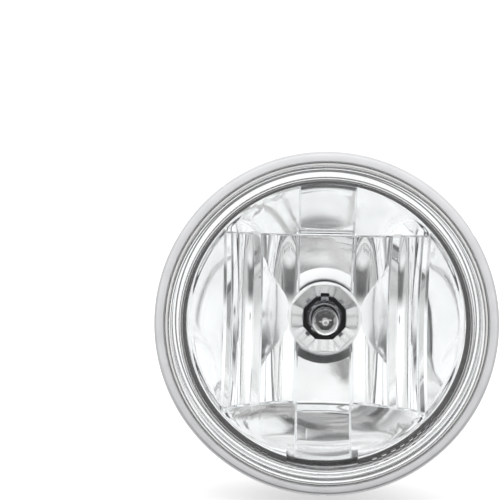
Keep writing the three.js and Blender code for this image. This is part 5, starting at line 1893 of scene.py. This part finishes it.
@dataclass
class Pivots:
    """Shoulder screws in nylon bushes, on which the lamp tilts."""

    shank: float = 3.0
    head_radius: float = 5.4
    head_height: float = 2.6
    head_round: float = 1.6
    point: tuple[float, float] = (0.7, 0.8)  # the shank's chamfer, across and along
    key_flats: float = 4.0
    key_depth: float = 1.7
    bush_wall: float = 1.2
    bush_flange: float = 1.0
    bush_flange_radius: float = 6.8

    def build(self) -> None:
        """Makes both sides."""
        for side in Side:
            label = side.name.lower()
            bush, screw = Extent.of("pivot_bush_" + label), Extent.of("pivot_screw_" + label)
            pivot = bush.centre.y
            outer, inner = self.reaches(bush)
            self.bush("pivot_bush_" + label, side, pivot, outer, inner)
            outer, inner = self.reaches(screw)
            self.screw("pivot_screw_" + label, side, pivot, outer, inner)

    @staticmethod
    def reaches(box: Extent) -> tuple[float, float]:
        """How far from the optical axis a piece ends, and how near it starts."""
        places = sorted((abs(box.low.x), abs(box.high.x)))
        return places[1], places[0]

    def bush(self, node: str, side: Side, pivot: float, outer: float, inner: float) -> None:
        """Makes a flanged bush.

        Args:
            node: The node it stands for.
            side: Which side it is on.
            pivot: The pivot's place along Y.
            outer: Where it ends along X.
            inner: Where it starts along X.
        """
        bore = self.shank + FIT_GAP
        tube, flange = bore + self.bush_wall, self.bush_flange_radius
        corners: Corners = [
            (bore, -outer, CRISP),
            (tube, -outer, SOFT),
            (tube, -inner - self.bush_flange, CRISP),
            (flange, -inner - self.bush_flange, SOFT),
            (flange, -inner, SOFT),
            (bore, -inner, CRISP),
        ]
        made = Workpiece.turned(rounded(corners), Workpiece.SMALL_ROUND)
        made.onto_x(side, pivot).fitted(node, Body.BRACKET, NYLON)

    def screw(self, node: str, side: Side, pivot: float, outer: float, inner: float) -> None:
        """Makes a button-head shoulder screw with a hexagon socket.

        Args:
            node: The node it stands for.
            side: Which side it is on.
            pivot: The pivot's place along Y.
            outer: Where its head ends along X.
            inner: Where its shank ends along X.
        """
        face, crown = -outer + self.head_height, self.head_round
        across, along = self.point
        corners: Corners = [
            (0, -outer, 0),
            (self.head_radius - crown, -outer, crown),
            (self.head_radius, -outer + 1.5, crown),
            (self.head_radius, face, CRISP),
            (self.shank, face, CRISP),
            (self.shank, -inner - along, 0.1),
            (self.shank - across, -inner, 0.1),
            (0, -inner, 0),
        ]
        blank = Workpiece.turned(rounded(corners, closed=False), Workpiece.SMALL_ROUND)
        socket = Workpiece.slab(many_sided(6, self.key_flats), -outer - PAST, -outer + self.key_depth)
        blank.cut(socket).onto_x(side, pivot).fitted(node, Body.LAMP, ZINC_STEEL)


@dataclass
class Adjuster:
    """Screw that tilts the lamp, with its bush, nut and spring."""

    rules: Rules
    shank: float = 3.0
    washer_radius: float = 5.6
    washer_height: float = 1.2
    head_flats: float = 8.0
    cross: tuple[float, float, float] = (1.2, 5.2, 0.2)  # width, length, corner
    cross_depth: float = 1.3
    thread_depth: float = 0.32
    thread_pitch: float = 1.0
    thread_start: float = 1.4  # behind the screw's point
    thread_end: float = 3.8  # in front of the washer face
    bush_wall: float = 1.2
    bush_flange: float = 1.0
    nut_play: float = 0.5
    spring_wire: float = 0.5
    spring_turns: float = 4.5

    def screw(self) -> None:
        """Makes the adjusting screw with its hexagon head, washer face and thread."""
        box = Extent.of("adjuster_screw")
        face = Extent.of("adjuster_bush").rear + FIT_GAP
        head = face + self.washer_height
        core = self.shank - self.thread_depth
        corners: Corners = [
            (0, box.front, 0),
            (core - 0.9, box.front, CRISP),
            (core, box.front + 1.1, CRISP),
            (core, face - 3.2, 0.1),
            (self.shank, face - 2.9, 0.1),
            (self.shank, face, CRISP),
            (self.washer_radius, face, 0.25),
            (self.washer_radius, head, 0.5),
            (0, head, 0),
        ]
        shank = Workpiece.turned(rounded(corners, closed=False), Workpiece.SMALL_ROUND)
        hexagon = Workpiece.slab(many_sided(6, self.head_flats), head - 0.5, box.rear)
        corner = self.head_flats / 2 / math.cos(math.pi / 6)
        dome = [(0, head - 1), (corner + 1, head - 1), (corner + 1, box.rear - 1.0)]
        dome += [(corner - 0.7, box.rear), (0, box.rear)]
        hexagon = hexagon.common(Workpiece.turned(dome, 96)).broken_edges(0.12, 1)
        cross = Workpiece.slab(oblong(*self.cross), box.rear - self.cross_depth, box.rear + PAST)
        shank = shank.fused(hexagon.cut(cross.copy(), cross.spun("Y", 90)))
        length = face - self.thread_end - box.front - self.thread_start
        turns = length / self.thread_pitch
        size = (core - 0.02, length, turns, self.thread_depth * 1.15)
        thread = self.rules.wound(*size, 4, ZINC_STEEL).moved(y=box.front + self.thread_start)
        made = shank.beside(thread).moved(z=box.centre.z)
        made.fitted("adjuster_screw", Body.ADJUSTER, ZINC_STEEL)

    def bush(self) -> None:
        """Makes the bush that the screw turns in."""
        box = Extent.of("adjuster_bush")
        bore = self.shank + FIT_GAP
        tube, flange, thick = bore + self.bush_wall, box.radius, self.bush_flange
        corners: Corners = [
            (bore, box.front, CRISP),
            (flange, box.front, SOFT),
            (flange, box.front + thick, SOFT),
            (tube, box.front + thick, 0.1),
            (tube, box.rear - thick, 0.1),
            (flange, box.rear - thick, SOFT),
            (flange, box.rear, SOFT),
            (bore, box.rear, CRISP),
        ]
        made = Workpiece.turned(rounded(corners), Workpiece.SMALL_ROUND).moved(z=box.centre.z)
        made.fitted("adjuster_bush", Body.BRACKET, NYLON)

    def nut(self) -> None:
        """Makes the square nut in the lug."""
        box = Extent.of("adjuster_nut")
        side = 2 * box.radius
        body = Workpiece.slab(oblong(side, side, 0.5), box.front, box.rear).broken_edges(0.3)
        radius = self.shank + self.nut_play
        bore = Workpiece.disc(radius, box.front - PAST, box.rear + PAST, Workpiece.SMALL_ROUND)
        body.cut(bore).moved(z=box.centre.z).fitted("adjuster_nut", Body.LAMP, NYLON)

    def spring(self) -> None:
        """Makes the spring between the bracket and the lamp."""
        box = Extent.of("adjuster_spring")
        wire = self.spring_wire
        length = box.rear - box.front - 2 * wire
        size = (box.radius - wire, length, self.spring_turns, wire)
        made = self.rules.wound(*size, 12, ZINC_STEEL).moved(y=box.front + wire, z=box.centre.z)
        start, end = Vector((0, box.rear, box.centre.z)), Vector((0, box.front, box.centre.z))
        made.sprung("adjuster_spring", ZINC_STEEL, start, end)

    def build(self) -> None:
        """Makes the whole adjuster."""
        self.screw()
        self.bush()
        self.nut()
        self.spring()


# ------------------------------------------------------------------ studio


@dataclass
class Studio:
    """Plain pale floor, soft light from all round and the camera."""

    floor_gap: float = 5.0
    floor_half: float = 30.0  # metres
    floor_glow: float = 0.34
    floor_tones: tuple[float, float] = (0.93, 0.96)
    light_level: float = 0.76
    light_front: float = 0.4
    light_above: float = 0.34
    light_seen: float = 1.1
    spot_right: float = 0.02
    spot_down: float = 0.08
    spot_edge: tuple[float, float] = (0.05, 0.1)
    spot_dark: float = 0.85
    band_top: tuple[float, float] = (0.18, 0.5)
    band_foot: tuple[float, float] = (0.72, 0.84)
    band_sides: tuple[float, float, float] = (0.03, 0.3, 0.45)
    band_dark: float = 0.98
    azimuth: float = -1.1
    elevation: float = 4.6
    distance: float = 450.0
    roll: float = 1.2
    lens: float = 101.5
    sensor: float = 36.0
    aim_right: float = 76.0 / 500
    aim_down: float = 74.7 / 500

    def floor(self) -> None:
        """Makes the floor under the ring."""
        level = (Extent.of("lens_ring").low.z - self.floor_gap) * MM
        half = self.floor_half
        mesh = bpy.data.meshes.new("floor")
        corners = [(-half, -half), (half, -half), (half, half), (-half, half)]
        mesh.from_pydata([(a, b, level) for a, b in corners], [], [(0, 1, 2, 3)])
        plane = bpy.data.objects.new("floor", mesh)
        bpy.context.scene.collection.objects.link(plane)
        paint = bpy.data.materials.new("pale_floor")
        paint.use_nodes = True
        paint.node_tree.nodes.clear()
        canvas = Canvas(paint.node_tree)
        cloud = canvas.noise(canvas.position(), 0.01, 2)
        colour = canvas.blend(cloud, *((tone, tone, tone, 1.0) for tone in self.floor_tones))
        sockets = {"Base Color": colour, "Roughness": 0.9}
        sockets |= {"Emission Color": WHITE, "Emission Strength": self.floor_glow}
        surface = canvas.node("ShaderNodeBsdfPrincipled", sockets=sockets)
        canvas.node("ShaderNodeOutputMaterial", sockets={"Surface": surface})
        mesh.materials.append(paint)
        plane.visible_glossy = False
        plane.visible_transmission = False

    def light(self) -> None:
        """Makes the soft light, with a dark spot in front and a dark band low down to reflect."""
        world = bpy.data.worlds.new("soft_light")
        world.use_nodes = True
        world.node_tree.nodes.clear()
        canvas = Canvas(world.node_tree)
        x, y, z = canvas.parts(canvas.node("ShaderNodeTexCoord", output="Generated"))
        ahead, down = 0.0 - y, 0.0 - z
        front = ahead.rising(0.2, 1.0)
        above = z.rising(-0.1, 0.9)
        off_spot = (x - self.spot_right).hypotenuse(z + self.spot_down).rising(*self.spot_edge)
        spot = (1 - off_spot) * front.rising(0.5, 0.9) * self.spot_dark
        start, end, loss = self.band_sides
        band = down.rising(*self.band_top) * (1 - down.rising(*self.band_foot))
        band = band * ahead.rising(0.2, 0.6) * (1 - (x * x).rising(start, end) * loss)
        strength = self.light_level + front * self.light_front + above * self.light_above
        strength = strength * (1 - spot) * (1 - band * self.band_dark)
        seen = canvas.node("ShaderNodeLightPath", output="Is Camera Ray")
        strength = strength * (1 - seen) + seen * self.light_seen
        sockets = {"Color": WHITE, "Strength": strength}
        background = canvas.node("ShaderNodeBackground", sockets=sockets)
        canvas.node("ShaderNodeOutputWorld", sockets={"Surface": background})
        bpy.context.scene.world = world

    def camera(self) -> None:
        """Makes the camera, turned so that the ring's middle falls right of and below the middle."""
        ring = Extent.of("lens_ring")
        target = Vector((0, ring.front, 0)) * MM
        turn, rise = math.radians(self.azimuth), math.radians(self.elevation)
        level = math.cos(rise)
        back = Vector((math.sin(turn) * level, -math.cos(turn) * level, math.sin(rise)))
        reach = self.lens / self.sensor
        seen = Vector((self.aim_right / reach, -self.aim_down / reach, -1)).normalized()
        seen_up = (Vector((0, 1, 0)) - seen * seen.y).normalized()
        ahead = -back
        up = (Vector((0, 0, 1)) - ahead * ahead.z).normalized()
        up.rotate(Matrix.Rotation(-math.radians(self.roll), 3, ahead))
        in_camera = Matrix((seen, seen_up, seen.cross(seen_up)))
        in_world = Matrix((ahead, up, ahead.cross(up)))
        eye = bpy.data.cameras.new("camera")
        eye.lens, eye.sensor_width = self.lens, self.sensor
        eye.clip_start, eye.clip_end = 0.01, 100.0
        camera = bpy.data.objects.new("camera", eye)
        bpy.context.scene.collection.objects.link(camera)
        rotation = in_world.transposed() @ in_camera
        place = Matrix.Translation(target + back * self.distance * MM)
        camera.matrix_world = place @ rotation.to_4x4()
        bpy.context.scene.camera = camera

    def build(self) -> None:
        """Makes the floor, the light and the camera."""
        self.floor()
        self.light()
        self.camera()
        scene = bpy.context.scene
        scene.view_settings.view_transform = "Standard"
        scene.cycles.max_bounces = 24
        scene.cycles.glossy_bounces = 12
        scene.cycles.transmission_bounces = 24


def main() -> None:
    """Builds the fog light round the frame, sub-assembly by sub-assembly."""
    logging.basicConfig(level=logging.INFO, format="%(name)s: %(message)s")
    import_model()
    Studio().build()
    rules = Rules(coil_rule(), ring_rule())
    Lens(rules).build()
    LensRing().build()
    Seals().build()
    bowl = Reflector().build()
    Collar().build(bowl)
    Bulb(rules).build(bowl)
    Housing(rules).build(bowl)
    Bracket().build()
    Pivots().build()
    Adjuster(rules).build()


if __name__ == "__main__":
    main()
